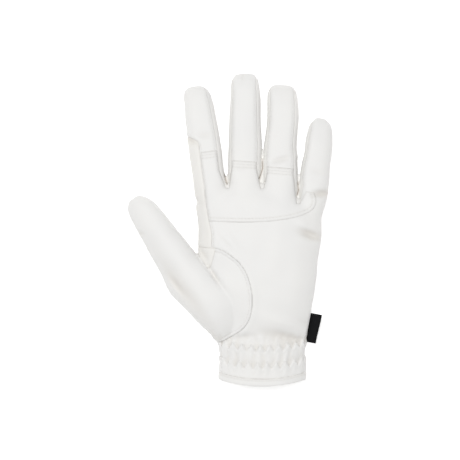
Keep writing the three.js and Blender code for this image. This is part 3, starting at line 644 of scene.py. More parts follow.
def domed_tip(rise):
    """Shares of the length, past the last section, and of its width that round a tip off."""
    return [(1 + rise * math.sin(turn), math.cos(turn)) for turn in np.radians([30, 55, 75, 86])]


def part_from_neighbours(points, name):
    """Keeps a finger on its own side of the slits beside it."""
    place = NAMES.index(name)
    for slit, side in ((place - 1, 1), (place, -1)):
        if not 0 <= slit < len(SLITS):
            continue
        line = np.array(SLITS[slit])[::-1]
        y = points[:, 1]
        half = np.interp(points[:, 2], SLIT_FLOOR, (-SLIT_LAP, SLIT_HALF))
        limit = np.interp(y, line[:, 1], line[:, 0]) + side * half
        reach = (y > line[0, 1] - 3) & (y < line[-1, 1] + 2)
        gap = side * (points[:, 0] - limit)
        points[:, 0] = np.where(reach & (gap < 0), limit, points[:, 0])
        share = np.clip((SLIT_CLOSED[slit] - y) / 3, 0, 1)
        closing = reach & (gap > 0) & (gap < SLIT_PULL) & (points[:, 2] > 3) & (points[:, 2] < SLIT_FLOOR[1])
        points[:, 0] -= np.where(closing, side * gap * share, 0)
    return points


def limb_rings(limb, table, power, count):
    """Rings along a finger or the thumb, with a domed tip."""
    root, ahead, across = limb_frame(limb)
    length, width, height = limb.length, limb.width, limb.height
    rows = np.array(table, float)
    columns = rows.shape[1]
    stations = [(at, 1.0) for at in np.linspace(0, 1, int(length / RING_STEP) + 1)]
    stations += domed_tip(DOME_RISE / length)
    rings = []
    for at, share in stations:
        values = [float(curve_through(rows[:, 0], rows[:, k], min(at, 1.0))) for k in range(1, columns)]
        if columns == 5:
            shift, wide, top, bottom = values
            left = right = wide / 2
            roll = 0
        else:
            left, right, top, bottom, roll = values
            shift = 0
        middle, half = (top + bottom) / 2, (top - bottom) / 2 * share
        rings.append(
            rounded_ring(
                root + ahead * at * length + across * shift * width,
                across,
                left * width * share,
                right * width * share,
                (middle + half) * height,
                (middle - half) * height,
                power,
                count,
                roll,
            )
        )
    return rings


def palm_rings(count):
    """Rings from below the hem, through the cuff, up to the forks of the fingers."""
    rows = []
    for along, width, height in CUFF_SECTIONS:
        half = width * CUFF_WIDTH / 2
        top = CUFF_HEIGHT * (1 + height) / 2
        bottom = CUFF_HEIGHT * (1 - height) / 2
        fade = max(0, 1 - along / 0.75)
        rows.append((WRIST - CUFF_LENGTH * (1 - along), CUFF_CENTRE, half, top, bottom, CUFF_POWER, fade, 0))
    for along, left, right, top, bottom in PALM_SECTIONS:
        centre = PALM_CENTRE + (left + right) / 2 * PALM_WIDTH
        power = CUFF_POWER + (PALM_POWER - CUFF_POWER) * min(1, along * 5)
        share = max(0, (along - FORK_FROM) / (1 - FORK_FROM))
        half = (right - left) / 2 * PALM_WIDTH
        y = WRIST + along * PALM_LENGTH
        rows.append((y, centre, half, top * PALM_HEIGHT, bottom * PALM_HEIGHT, power, 0, share))
    rows = np.array(rows, float)
    start, end = rows[0, 0], rows[-1, 0]
    rings = []
    for y in np.linspace(start, end, int((end - start) / RING_STEP) + 1):
        values = [float(curve_through(rows[:, 0], rows[:, k], y)) for k in range(1, 8)]
        centre, half, top, bottom, power, fade, share = values
        share = min(max(share, 0), 1)
        fade = max(fade, 0)

        def bow(x):
            up = HEM_BOW * fade * np.abs((x - CUFF_CENTRE) * 2 / CUFF_WIDTH) ** HEM_POWER
            return up - share * FORK_DROP * (((x - PALM_CENTRE) / PALM_WIDTH - FORK_PEAK) * 2) ** 2

        rings.append(rounded_ring((centre, y), (1, 0), half, half, top, bottom, power, count, 0, bow))
    return rings


def read_points(mesh):
    """A mesh's points in millimetres in the maker's frame."""
    co = np.empty(len(mesh.vertices) * 3)
    mesh.vertices.foreach_get("co", co)
    return co.reshape(-1, 3) / MM


def write_points(mesh, points):
    """Moves a mesh's points, given in millimetres."""
    mesh.vertices.foreach_set("co", (points * MM).ravel())
    mesh.update()


def read_normals(mesh):
    """The normal at each point of a mesh."""
    normals = np.empty(len(mesh.vertices) * 3)
    mesh.vertices.foreach_get("normal", normals)
    return normals.reshape(-1, 3)


def relax(mesh, rounds, share=0.5, back=-0.52, where=None):
    """Smooths a mesh, or a part of it: without shrinking it when every other step goes back."""
    edges = np.empty(len(mesh.edges) * 2, np.int64)
    mesh.edges.foreach_get("vertices", edges)
    a, b = edges.reshape(-1, 2).T
    points = read_points(mesh)
    degree = np.maximum(np.bincount(a, minlength=len(points)) + np.bincount(b, minlength=len(points)), 1)
    for turn in range(2 * rounds):
        mean = np.empty_like(points)
        for k in range(3):
            total = np.bincount(a, points[b, k], len(points)) + np.bincount(b, points[a, k], len(points))
            mean[:, k] = total / degree
        step = (share if turn % 2 == 0 else back) * (mean - points)
        points += step if where is None else step * where[:, None]
    write_points(mesh, points)


def only(thing):
    """Selects one object alone and makes it active."""
    bpy.ops.object.select_all(action="DESELECT")
    thing.select_set(True)
    bpy.context.view_layer.objects.active = thing


def apply_modifiers(thing):
    """Works an object's modifiers into its mesh."""
    only(thing)
    for modifier in list(thing.modifiers):
        bpy.ops.object.modifier_apply(modifier=modifier.name)


def turn_outward(thing):
    """Turns the faces of a mesh to its outside."""
    only(thing)
    bpy.ops.object.mode_set(mode="EDIT")
    bpy.ops.mesh.select_all(action="SELECT")
    bpy.ops.mesh.normals_make_consistent(inside=False)
    bpy.ops.object.mode_set(mode="OBJECT")


def band_share(along, other, middle, reach, start):
    """From 0 to 1: how well inside a band along the palm, and past a start in another direction."""
    return np.exp(-(((along - middle) / reach) ** 4)) * np.clip((other - start) / 3, 0, 1)


def fold_depth(points):
    """How deep the folds press the leather in at each point."""
    depth = np.zeros(len(points))
    for x, y, angle, run, width, deep in FOLDS:
        turn = math.radians(angle)
        dx, dy = points[:, 0] - x, points[:, 1] - y
        u = (dx * math.cos(turn) + dy * math.sin(turn)) / run
        v = (dy * math.cos(turn) - dx * math.sin(turn)) / width
        depth += deep * np.exp(-u * u - v * v)
    return depth


def cuff_outline():
    """The outline of the cuff's section, as points across it and up."""
    half = CUFF_WIDTH / 2
    ring = rounded_ring((CUFF_CENTRE, 0), (1, 0), half, half, CUFF_HEIGHT * 0.97, 0.5, CUFF_POWER, 360)
    return np.stack([ring[:, 0], ring[:, 2]], axis=1)


CUFF_RING = cuff_outline()
CUFF_GIRTH = float(np.linalg.norm(np.roll(CUFF_RING, -1, axis=0) - CUFF_RING, axis=1).sum())


def relief_beside(gap, height, half, away=0.0):
    """A soft ridge or groove beside a line, by the distance from that line."""
    return height * np.exp(-(((gap - away) / half) ** 2))


def round_cuff(points):
    """How far round the cuff each point lies, in gathers."""
    flat = np.stack([points[:, 0], points[:, 2]], axis=1)
    return nearest_on_line(flat, CUFF_RING, closed=True)[1] / CUFF_GIRTH * GATHER_COUNT


def zigzag(turns, row):
    """Height above the hem of a zigzag row, at a number of gathers round the cuff."""
    middle, half = ELASTIC_ROWS[row]
    return middle + half * (4 * np.abs((turns + ROW_SHIFT * row) % 1 - 0.5) - 1)


def gather_relief(points):
    """Puckers of the cuff: small swells under the peaks of each zigzag, and pleats between and below them."""
    relief = np.zeros(len(points))
    near = points[:, 1] < WRIST + 10
    part = points[near]
    turns = round_cuff(part)
    height = above_hem(part)
    uneven = 1 + 0.3 * np.sin(2.3 * turns + 1) + 0.2 * np.sin(5.1 * turns)
    first, second = ELASTIC_ROWS[0][0], ELASTIC_ROWS[1][0]
    lean = ROW_SHIFT * np.clip((height - first) / (second - first), 0, 1)
    lean += 0.06 * np.sin(turns * 1.7 + height / 3)
    envelope = np.clip((height - PLEAT_FROM) / 5, 0, 1) * np.clip((PLEAT_TO - height) / 10, 0, 1)
    lift = PLEAT_DEPTH * envelope * uneven * np.cos(2 * np.pi * (turns + lean))
    for row in range(len(ELASTIC_ROWS)):
        above = (height - zigzag(turns, row)) * ZIGZAG_SLOPE
        lift += relief_beside(above, *ZIGZAG_GROOVE)
        lift += uneven * relief_beside(above, *ZIGZAG_PUFF)
        lift += relief_beside(above, *ZIGZAG_HOLLOW)
    relief[near] = lift
    return relief


def stitch_lines():
    """Rows of stitching in the plan: each a line, and how far the row runs to its left."""
    lines = []
    for name in ("middle", "ring"):
        lines.append((seam_up(name, SEAM_LEFT), STITCH_LEFT))
        lines.append((seam_up(name, SEAM_RIGHT), STITCH_RIGHT))
    lines.append((seam_up("index", SEAM_RIGHT), STITCH_RIGHT))
    lines.append((seam_up("little", SEAM_LEFT), STITCH_LEFT))
    lines.append((THUMB_LINE, STITCH_THUMB))
    lines.append((STRIP_LINE[:-4], STITCH_STRIP))
    return lines


def patch_stitch_lines():
    """Rows of stitching that hold the palm patch down."""
    lines = [(smooth_on_palm(PATCH_ARC), STITCH_ARC)]
    for name in PATCH_END_SIDES:
        line = patch_end(name)
        lines += [(line, side) for side in PATCH_END_ROWS]
    return lines


def shifted(line, gap):
    """A line in the plan moved sideways, to its left for a positive gap."""
    line = np.array(line)
    run = np.gradient(line, axis=0)
    run /= np.linalg.norm(run, axis=1)[:, None]
    return line + np.stack([-run[:, 1], run[:, 0]], axis=1) * gap


PATCH_LEFT = SEAM_LEFT + PATCH_INSET
PATCH_RIGHT = SEAM_RIGHT - PATCH_INSET
PATCH_BESIDE_STRIP = STRIP_SEAM + PATCH_INSET
PATCH_END_SIDES = {
    "index": (PATCH_BESIDE_STRIP, PATCH_RIGHT),
    "middle": (PATCH_LEFT, PATCH_RIGHT),
    "ring": (PATCH_LEFT, PATCH_RIGHT),
}


def patch_end(name, steps=8):
    """The upper edge of the palm patch across a finger, from left to right, a little lower on the right."""
    left, right = PATCH_END_SIDES[name]
    drop = PATCH_SLANT if name != "index" else 0
    sides = np.linspace(left, right, steps + 1)
    return [on_finger(name, PATCH_ENDS[name] - drop * k / steps, side) for k, side in enumerate(sides)]


def patch_round(name):
    """The edge of the palm patch up a finger, across it and down to the next fork."""
    end = PATCH_ENDS[name]
    return [
        *finger_seam(name, PATCH_LEFT, WALL_START, end - 0.01, 4),
        *patch_end(name),
        *finger_seam(name, PATCH_RIGHT, end - 0.03, WALL_START, 4),
    ]


PATCH_OUTLINE = [
    *finger_seam("index", PATCH_BESIDE_STRIP, 0.22, PATCH_ENDS["index"] - 0.03, 8),
    *patch_end("index"),
    *finger_seam("index", PATCH_RIGHT, PATCH_ENDS["index"] - 0.02, WALL_START, 6),
    *FORKS[0],
    *patch_round("middle"),
    *FORKS[1],
    *patch_round("ring"),
    *FORKS[2],
    on_finger("little", 0.27, -0.55),
    *smooth_on_palm(PATCH_ARC)[::-1],
    *[on_palm(row) + np.array([0.6, 0]) for row in STRIP_SEAM_PALM[3:]],
]


def nearest_of(flat, lines):
    """Distance from each point in the plan to the nearest of some lines, each moved sideways."""
    gap = np.full(len(flat), np.inf)
    for line, side in lines:
        gap = np.minimum(gap, nearest_on_line(flat, shifted(line, side))[0])
    return gap


def seam_relief(points, normals):
    """Seams press the leather in and let it swell beside them, on the top."""
    relief = np.zeros(len(points))
    top = (above_side_seam(points) > 0) & (normals[:, 2] > -0.2) & (above_hem(points, HEM_DEPTH) > 0)
    flat = points[top][:, :2]
    gap = nearest_on_line(flat, PALM_OUTLINE, closed=True)[0]
    gap = np.minimum(gap, nearest_on_line(flat, GUSSET_OUTLINE, closed=True)[0])
    pressed = relief_beside(gap, *SEAM_GROOVE) + relief_beside(gap, *SEAM_PUFF)
    pressed += relief_beside(nearest_of(flat, stitch_lines()), *STITCH_GROOVE)
    pressed += relief_beside(nearest_of(flat, [(THUMB_LINE, PIPING_GROOVE_AT)]), *PIPING_GROOVE)
    relief[top] = pressed + relief_beside(nearest_of(flat, [(THUMB_LINE, PIPING_AT)]), *PIPING_PUFF)
    low = ~inside(points[:, :2], THUMB_LOW)
    relief[low] += relief_beside(above_side_seam(points)[low], *SIDE_GROOVE)
    relief[~low] += relief_beside(above_thumb_seam(points)[~low], *SIDE_GROOVE)
    relief += relief_beside(above_hem(points, HEM_DEPTH - HEM_ROW_AT), *HEM_ROW_GROOVE)
    relief += relief_beside(above_hem(points, HEM_DEPTH), *HEM_EDGE_GROOVE)
    return relief


def soft_lumps(points):
    """The unevenness of soft leather with nothing in it."""
    x, y, z = points.T
    return (
        0.22 * np.sin(x / 7.1 + 1.3 * np.sin(y / 11.3)) * np.sin(y / 9.7 + 0.8 * np.sin(x / 8.3))
        + 0.12 * np.sin(x / 3.9 + y / 6.1 + 1.1 * np.sin(z / 5)) * np.sin(y / 4.7 - x / 9.1)
    )


def make_skin(voxel):
    """The whole skin of the hand as one fine mesh, before it is cut into panels."""
    parts = [loft(palm_rings(PALM_COUNT), "palm")]
    for name, finger in FINGERS.items():
        rings = limb_rings(finger, FINGER_SECTIONS[name], FINGER_POWER, FINGER_COUNT)
        parts.append(loft([part_from_neighbours(ring, name) for ring in rings], name))
    parts.append(loft(limb_rings(THUMB, THUMB_SECTIONS, THUMB_POWER, THUMB_COUNT), "thumb"))
    bpy.ops.object.select_all(action="DESELECT")
    for part in parts:
        part.select_set(True)
    bpy.context.view_layer.objects.active = parts[0]
    bpy.ops.object.join()
    skin = parts[0]
    skin.name = "hand_skin"
    turn_outward(skin)
    skin.data.remesh_voxel_size = voxel
    bpy.ops.object.voxel_remesh()
    relax(skin.data, SKIN_ROUNDS)
    points = read_points(skin.data)
    near_roots = band_share(points[:, 1], points[:, 2], *SMOOTH_ROOTS)
    near_edge = band_share(points[:, 1], points[:, 0], *SMOOTH_EDGE)
    relax(skin.data, ROOT_ROUNDS, 0.5, 0.5, np.maximum(near_roots, near_edge))
    shape_skin(skin.data)
    return skin


def shape_skin(mesh):
    """Folds, swells and gathers, worked into the smooth skin."""
    points = read_points(mesh)
    normals = read_normals(mesh)
    upper = np.clip((normals[:, 2] + 0.2) / 0.8, 0, 1)
    points[:, 2] -= fold_depth(points) * upper
    points += normals * (soft_lumps(points) * np.clip(points[:, 2] / 6, 0, 1))[:, None]
    write_points(mesh, points)
    normals = read_normals(mesh)
    relief = gather_relief(points) + seam_relief(points, normals)
    relief *= np.clip((points[:, 2] + 1) / 2.5, 0.2, 1)
    points += normals * relief[:, None]
    points[:, 2] = np.maximum(points[:, 2], FLOOR)
    write_points(mesh, points)


def cut_along(bm, field, where=None, snap=0.12):
    """Cuts the mesh where a field of distances changes sign, so that a seam is a clean line of edges."""
    bm.verts.ensure_lookup_table()
    bm.verts.index_update()
    points = np.array([v.co for v in bm.verts]) / MM
    value = field(points)
    active = np.ones(len(points), bool) if where is None else where(points)
    value[np.abs(value) < snap] = 0.0
    values = value.tolist()
    on_line = {bm.verts[i] for i in np.nonzero((value == 0.0) & active)[0]}
    faces = set()
    for vert in on_line:
        faces.update(vert.link_faces)
    crossing = []
    for edge in bm.edges:
        i, j = edge.verts[0].index, edge.verts[1].index
        if values[i] * values[j] < 0 and active[i] and active[j]:
            crossing.append((edge, values[i] / (values[i] - values[j])))
    for edge, share in crossing:
        made = bmesh.utils.edge_split(edge, edge.verts[0], share)[1]
        on_line.add(made)
        faces.update(made.link_faces)
    for face in faces:
        marks = [v for v in face.verts if v in on_line]
        if len(marks) != 2 or len(face.verts) < 4:
            continue
        order = list(face.verts)
        apart = abs(order.index(marks[0]) - order.index(marks[1]))
        if apart in (1, len(order) - 1):
            continue
        bmesh.utils.face_split(face, marks[0], marks[1])


FOURCHETTES = ("fourchette_index_middle", "fourchette_middle_ring", "fourchette_ring_little")
# The walls of a fork: how far they reach to either side of it, and from how low;
# how they lean as they go up the fingers, and where that starts
FORK_REACH = 14
FORK_LOWEST = 20
FORK_LEAN = 0.02
FORK_MIDDLE = 30


def face_panel(centres):
    """The panel that each face belongs to, by its middle."""
    flat = centres[:, :2]
    low = above_side_seam(centres) < 0
    under_thumb = above_thumb_seam(centres) < 0
    in_hole = inside(flat, THUMB_LOW)
    panel = np.full(len(centres), "back_panel", dtype=object)
    top = ~low & ~(beside_cuff(centres) > 0)
    fork_x = [(fork[0][0] + fork[1][0]) / 2 for fork in FORKS]
    for name, x in zip(FOURCHETTES, fork_x):
        lean = FORK_LEAN * (centres[:, 1] - FORK_MIDDLE)
        beside_fork = np.abs(centres[:, 0] - x - lean) < FORK_REACH
        panel[top & beside_fork & (centres[:, 1] > FORK_LOWEST)] = name
    panel[top & inside(flat, STRIP_OUTLINE)] = "index_side_strip"
    panel[top & inside(flat, PALM_OUTLINE)] = "palm_panel"
    thumb_front = inside(flat, THUMB_TOP) & (~low | in_hole) & (centres[:, 1] > WRIST - 0.01)
    panel[thumb_front & ~inside(flat, PALM_OUTLINE)] = "thumb_front"
    panel[in_hole & low & ~under_thumb] = "thumb_front"
    panel[top & inside(flat, GUSSET_OUTLINE)] = "thumb_gusset"
    panel[in_hole & under_thumb] = "thumb_back"
    panel[above_hem(centres, HEM_DEPTH) < 0] = "hem_band"
    panel[above_hem(centres) < 0] = "waste"
    return panel


def take_apart(bm):
    """The points in millimetres, the normals and the faces of a mesh in editing, which is let go."""
    bm.verts.index_update()
    points = np.array([v.co for v in bm.verts]) / MM
    normals = np.array([v.normal for v in bm.verts])
    faces = [[v.index for v in face.verts] for face in bm.faces]
    bm.free()
    return points, normals, faces


def cut_panels(skin):
    """Cuts the skin along every seam, and returns the points and the faces of each panel."""
    bm = bmesh.new()
    bm.from_mesh(skin.data)
    cut_along(bm, above_hem)
    cut_along(bm, lambda p: above_hem(p, HEM_DEPTH))
    cut_along(bm, above_side_seam)
    cut_along(bm, above_thumb_seam, lambda p: inside(p[:, :2], THUMB_LOW))
    cut_along(bm, lambda p: depth_inside(p, THUMB_LOW), lambda p: (p[:, 2] < 18) & (above_side_seam(p) < 3))
    cut_along(bm, lambda p: depth_inside(p, PALM_OUTLINE), lambda p: above_side_seam(p) > -1)
    cut_along(bm, lambda p: depth_inside(p, GUSSET_OUTLINE), lambda p: above_side_seam(p) > -1)
    cut_along(bm, lambda p: p[:, 1] - WRIST, lambda p: (p[:, 0] < 0) & (above_side_seam(p) > -1))
    cut_along(bm, beside_cuff, lambda p: p[:, 1] < WRIST + 1)
    points, normals, faces = take_apart(bm)
    centres = np.array([points[face].mean(axis=0) for face in faces])
    return points, faces, face_panel(centres)


def panel_object(name, points, faces, painted_shade=None):
    """A new object from some faces of the skin, in the model's frame, with the painted shade of its points
    where given.
    """
    used = sorted({i for face in faces for i in face})
    place = {old: new for new, old in enumerate(used)}
    mesh = bpy.data.meshes.new(name)
    co = (points[used] + SHIFT) * MM
    mesh.from_pydata(co.tolist(), [], [[place[i] for i in face] for face in faces])
    if painted_shade is not None:
        # The pressed attribute carries painted shade: how much darker the leather's colour is painted at each
        # point
        mesh.attributes.new("pressed", "FLOAT", "POINT").data.foreach_set("value", np.clip(painted_shade[used], 0, 5))
    mesh.validate()
    made = bpy.data.objects.new(name, mesh)
    bpy.context.collection.objects.link(made)
    mesh.shade_smooth()
    return made


def thicken(thing, thickness, outward=0.0):
    """Gives a panel its wall, inward from its face, and closes it round its edge."""
    solid = thing.modifiers.new("wall", "SOLIDIFY")
    solid.thickness = (thickness + outward) * MM
    solid.offset = -1 + 2 * outward / (thickness + outward)
    solid.use_even_offset = False
    solid.use_rim = True
    apply_modifiers(thing)


def cleft_shade(points):
    """Painted shade in a slit between two fingers: how deep in the slit each point lies, where they touch."""
    shade = np.zeros(len(points))
    for line, top in zip(SLITS, SLIT_CLOSED):
        gap = nearest_on_line(points[:, :2], line)[0]
        within = np.clip((top + 1 - points[:, 1]) / 3, 0, 1) * np.clip((CLEFT_TOP - points[:, 2]) / 2, 0, 1)
        shade = np.maximum(shade, relief_beside(gap, 1, CLEFT_HALF) * within)
    return shade


def finish_piece(thing, nodes, material):
    """Gives a piece its material, and tells the model what it rides on and which nodes it stands for."""
    thing.data.materials.clear()
    thing.data.materials.append(material)
    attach(thing, BODY)
    if nodes:
        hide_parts(*nodes)


class Value:
    """A socket of a shader that takes part in Python expressions."""

    def __init__(self, shader, socket):
        self.shader = shader
        self.socket = socket

    def math(self, operation, *others):
        inputs = dict(enumerate((self, *others)))
        return self.shader.node("ShaderNodeMath", {"operation": operation}, inputs)

    def __add__(self, other):
        return self.math("ADD", other)

    def __mul__(self, other):
        return self.math("MULTIPLY", other)


class Shader:
    """A material and its nodes."""

    def __init__(self, name):
        self.material = bpy.data.materials.new(name)
        self.material.use_nodes = True
        self.tree = self.material.node_tree
        self.surface = self.tree.nodes["Principled BSDF"]

    def node(self, kind, settings=None, inputs=None, output=0):
        made = self.tree.nodes.new(kind)
        for key, value in (settings or {}).items():
            if key == "stops":
                for element, (position, colour) in zip(made.color_ramp.elements, value):
                    element.position = position
                    element.color = colour
            else:
                setattr(made, key, value)
        for key, value in (inputs or {}).items():
            self.feed(made.inputs[key], value)
        return Value(self, made.outputs[output])

    def feed(self, socket, value):
        if isinstance(value, Value):
            self.tree.links.new(value.socket, socket)
        else:
            socket.default_value = value

    def place(self):
        return self.node("ShaderNodeTexCoord", output="Object")

    def noise(self, scale, detail=2.0, roughness=0.5):
        inputs = {"Vector": self.place(), "Scale": scale, "Detail": detail, "Roughness": roughness}
        return self.node("ShaderNodeTexNoise", {}, inputs)

    def cells(self, scale):
        inputs = {"Vector": self.place(), "Scale": scale}
        return self.node("ShaderNodeTexVoronoi", {"feature": "SMOOTH_F1"}, inputs)

    def waves(self, direction, scale, distortion=0.0):
        inputs = {"Vector": self.place(), "Scale": scale, "Distortion": distortion}
        return self.node("ShaderNodeTexWave", {"bands_direction": direction}, inputs)

    def blend(self, share, first, second):
        inputs = {"Factor": share, 6: first, 7: second}
        return self.node("ShaderNodeMix", {"data_type": "RGBA"}, inputs, output=2)

    def ramp(self, share, low, high):
        stops = [(low, (0, 0, 0, 1)), (high, (1, 1, 1, 1))]
        return self.node("ShaderNodeValToRGB", {"stops": stops}, {"Fac": share})

    def bump(self, height, strength, distance):
        inputs = {"Height": height, "Strength": strength, "Distance": distance}
        return self.node("ShaderNodeBump", {}, inputs)

    def give(self, **sockets):
        for key, value in sockets.items():
            self.feed(self.surface.inputs[key.replace("_", " ")], value)
        return self.material


def colour(values, share=1.0):
    return (*(min(1, v * share) for v in values), 1)


# The painted brown shade in a slit between two fingers
CLEFT_SHADE_COLOUR = (0.24, 0.19, 0.155)


def leather_material(name, tint):
    """Smooth coated leather: a fine pebbled grain, faint creasing and slightly uneven tone."""
    shader = Shader(name)
    broad = shader.noise(28, 3)
    pebbles = shader.cells(950)
    pores = shader.noise(2600, 2)
    creases = shader.noise(160, 4, 0.6)
    tone = shader.ramp(broad, 0.35, 0.7)
    base = shader.blend(tone, colour(tint, 0.975), colour((tint[0], tint[1] * 0.997, tint[2] * 0.99)))
    # Painted shade: the pressed attribute darkens the base colour toward a warm shade colour, and deep in the
    # slits toward the painted brown slit shade
    pressed = shader.node("ShaderNodeAttribute", {"attribute_name": "pressed"}, output=2)
    shade = (tint[0] * 0.9, tint[1] * 0.88, tint[2] * 0.85)
    base = shader.blend(pressed, base, colour(shade))
    cleft = shader.ramp(pressed * 0.2, 0.22, 0.85)
    base = shader.blend(cleft, base, colour(CLEFT_SHADE_COLOUR))
    height = pebbles * 0.55 + pores * 0.25 + creases * 0.5
    return shader.give(
        Base_Color=base,
        Roughness=broad * 0.12 + pores * 0.1 + 0.46,
        Normal=shader.bump(height, 0.22, 0.00012),
        Sheen_Weight=0.06,
        Specular_IOR_Level=0.4,
    )


def fabric_material(name, tint):
    """White stretch fabric: fine knitted ribs over soft leather."""
    shader = Shader(name)
    broad = shader.noise(30, 3)
    knit = shader.waves("X", 210, 0.6) * shader.waves("Y", 160, 0.6)
    return shader.give(
        Base_Color=shader.blend(shader.ramp(broad, 0.3, 0.75), colour(tint, 0.96), colour(tint)),
        Roughness=knit * 0.1 + 0.62,
        Normal=shader.bump(knit, 0.35, 0.00018),
        Sheen_Weight=0.15,
    )


def thread_material(name, tint):
    """Twisted thread."""
    shader = Shader(name)
    twist = shader.waves("DIAGONAL", 900)
    return shader.give(
        Base_Color=shader.blend(twist, colour(tint, 0.93), colour(tint)),
        Roughness=twist * 0.1 + 0.5,
        Normal=shader.bump(twist, 0.3, 0.00006),
    )


def ribbon_material(name, tint):
    """Black woven ribbon: fine ribs across, and brighter threads that catch the light."""
    shader = Shader(name)
    weave = shader.waves("Y", 560, 0.3) * shader.waves("X", 760, 0.3)
    dust = shader.noise(900, 2)
    return shader.give(
        Base_Color=shader.blend(weave * 0.7 + dust * 0.3, colour(tint), colour(tint, 3.2)),
        Roughness=weave * 0.15 + 0.75,
        Specular_IOR_Level=0.12,
        Normal=shader.bump(weave, 0.6, 0.00012),
    )


def length_of(name, what, default, least):
    return FloatProperty(name=name, description=what + " in millimetres", default=default, min=least)


class GloveSizes(bpy.types.PropertyGroup):
    voxel: FloatProperty(
        name="Mesh size",
        description="Spacing of the points of the leather",
        default=0.00078,
        min=0.0004,
        unit="LENGTH",
    )
    leather: length_of("Leather", "Thickness of the leather", 1.1, 0.3)
    patch: length_of("Patch", "Thickness of the palm patch", 0.55, 0.2)
    stitch: length_of("Stitch", "Length of a stitch", 2.0, 0.5)
    pitch: length_of("Pitch", "Run from one stitch to the next", 2.6, 0.8)
    thread: length_of("Thread", "Radius of the thread", 0.2, 0.05)
    label_length: length_of("Label", "Length of the side label", 22, 5)


def colour_of(name, what, tint):
    return FloatVectorProperty(name=name, description="Colour of " + what, subtype="COLOR", default=tint)


class GloveFinish(bpy.types.PropertyGroup):
    leather: colour_of("Leather", "the white leather", (0.865, 0.863, 0.855))
    walls: colour_of("Walls", "the leather between the fingers", (0.89, 0.885, 0.87))
    ivory: colour_of("Ivory", "the index strip", (0.87, 0.86, 0.835))
    fabric: colour_of("Fabric", "the back", (0.85, 0.845, 0.835))
    thread: colour_of("Thread", "the stitches", (0.84, 0.835, 0.82))
    ribbon: colour_of("Ribbon", "the side label", (0.0045, 0.0045, 0.005))


PANEL_SLOTS = {
    "palm_panel": "white_leather",
    "thumb_front": "white_leather",
    "fourchette_index_middle": "white_leather",
    "fourchette_middle_ring": "white_leather",
    "fourchette_ring_little": "white_leather",
    "index_side_strip": "ivory_leather",
    "thumb_gusset": "ivory_leather",
    "back_panel": "white_stretch_fabric",
    "thumb_back": "white_stretch_fabric",
    "hem_band": "white_leather",
}
# How each finish is made, and its colour among the glove's settings
FINISHES = {
    "white_leather": (leather_material, "leather"),
    "finger_walls": (leather_material, "walls"),
    "ivory_leather": (leather_material, "ivory"),
    "white_stretch_fabric": (fabric_material, "fabric"),
    "thread": (thread_material, "thread"),
    "black_ribbon": (ribbon_material, "ribbon"),
}


def finish_for(name):
    """The material of a finish, made once."""
    found = bpy.data.materials.get(name + "_look")
    if found:
        return found
    make, setting = FINISHES[name]
    return make(name + "_look", getattr(bpy.context.scene.glove_finish, setting))


def painted_shade_on_skin(points):
    """Painted shade at each point: how much darker the leather is painted in folds, seams, puckers and slits,
    and on its low flanks.
    """
    facing_up = np.tile([0.0, 0.0, 1.0], (len(points), 1))
    painted_shade = FOLD_PAINTED_SHADE * fold_depth(points)
    painted_shade += FLANK_PAINTED_SHADE * np.clip((FLANK_HEIGHT - points[:, 2]) / FLANK_FADE, 0, 1)
    painted_shade -= SEAM_PAINTED_SHADE * seam_relief(points, facing_up)
    painted_shade -= GATHER_PAINTED_SHADE * gather_relief(points)
    return np.minimum(painted_shade, 1) + CLEFT_PAINTED_SHADE * cleft_shade(points)


class GLOVE_OT_panels(bpy.types.Operator):
    """Sew the hand: loft the skin, work its folds in and cut it into the leather panels"""

    bl_idname = "glove.panels"
    bl_label = "Leather panels"

    def execute(self, context):
        sizes = context.scene.glove_sizes
        points, faces, panel = cut_panels(make_skin(sizes.voxel))
        # Painted shade of the panels, kept on their points for the leather's colour
        painted_shade = painted_shade_on_skin(points)
        for name, slot in PANEL_SLOTS.items():
            own = [faces[i] for i in np.nonzero(panel == name)[0]]
            if not own:
                raise RuntimeError(f"no faces for {name}")
            made = panel_object(name + "_leather", points, own, painted_shade)
            if name == "hem_band":
                thicken(made, sizes.leather + HEM_EXTRA, HEM_OUTWARD)
                rested = read_points(made.data)
                rested[:, 2] = np.maximum(rested[:, 2], FLOOR)
                write_points(made.data, rested)
            else:
                thicken(made, sizes.leather)
            finish_piece(made, [name], finish_for("finger_walls" if name in FOURCHETTES else slot))
        return {"FINISHED"}


class GLOVE_OT_palm_patch(bpy.types.Operator):
    """Sew on the palm patch: a second layer of leather that follows the palm and the finger roots"""

    bl_idname = "glove.palm_patch"
    bl_label = "Palm patch"

    def execute(self, context):
        sizes = context.scene.glove_sizes
        bm = bmesh.new()
        bm.from_mesh(bpy.data.objects["hand_skin"].data)
        below = [v for v in bm.verts if v.co.z < PATCH_LOWEST * MM or v.normal.z < 0.05]
        bmesh.ops.delete(bm, geom=below, context="VERTS")
        cut_along(bm, lambda p: depth_inside(p, PATCH_OUTLINE))
        points, normals, faces = take_apart(bm)
        centres = np.array([points[face].mean(axis=0) for face in faces])
        within = inside(centres[:, :2], PATCH_OUTLINE)
        edge = np.maximum(depth_inside(points, PATCH_OUTLINE), 0)
        stitched = nearest_of(points[:, :2], patch_stitch_lines())
        lift = PATCH_CLEARANCE + sizes.patch
        lift = lift + relief_beside(edge, *PATCH_EDGE_GROOVE) + relief_beside(stitched, *PATCH_STITCH_GROOVE)
        points = points + normals * lift[:, None]
        # Painted shade of the patch: darker in folds, beside its stitches and at its edge
        painted_shade = FOLD_PAINTED_SHADE * fold_depth(points)
        painted_shade += relief_beside(stitched, *PATCH_STITCH_PAINTED_SHADE) + relief_beside(edge, *PATCH_EDGE_PAINTED_SHADE)
        made = panel_object("palm_patch_leather", points, [faces[i] for i in np.nonzero(within)[0]], painted_shade)
        thicken(made, sizes.patch - 0.1)
        finish_piece(made, ["palm_patch"], finish_for("white_leather"))
        return {"FINISHED"}


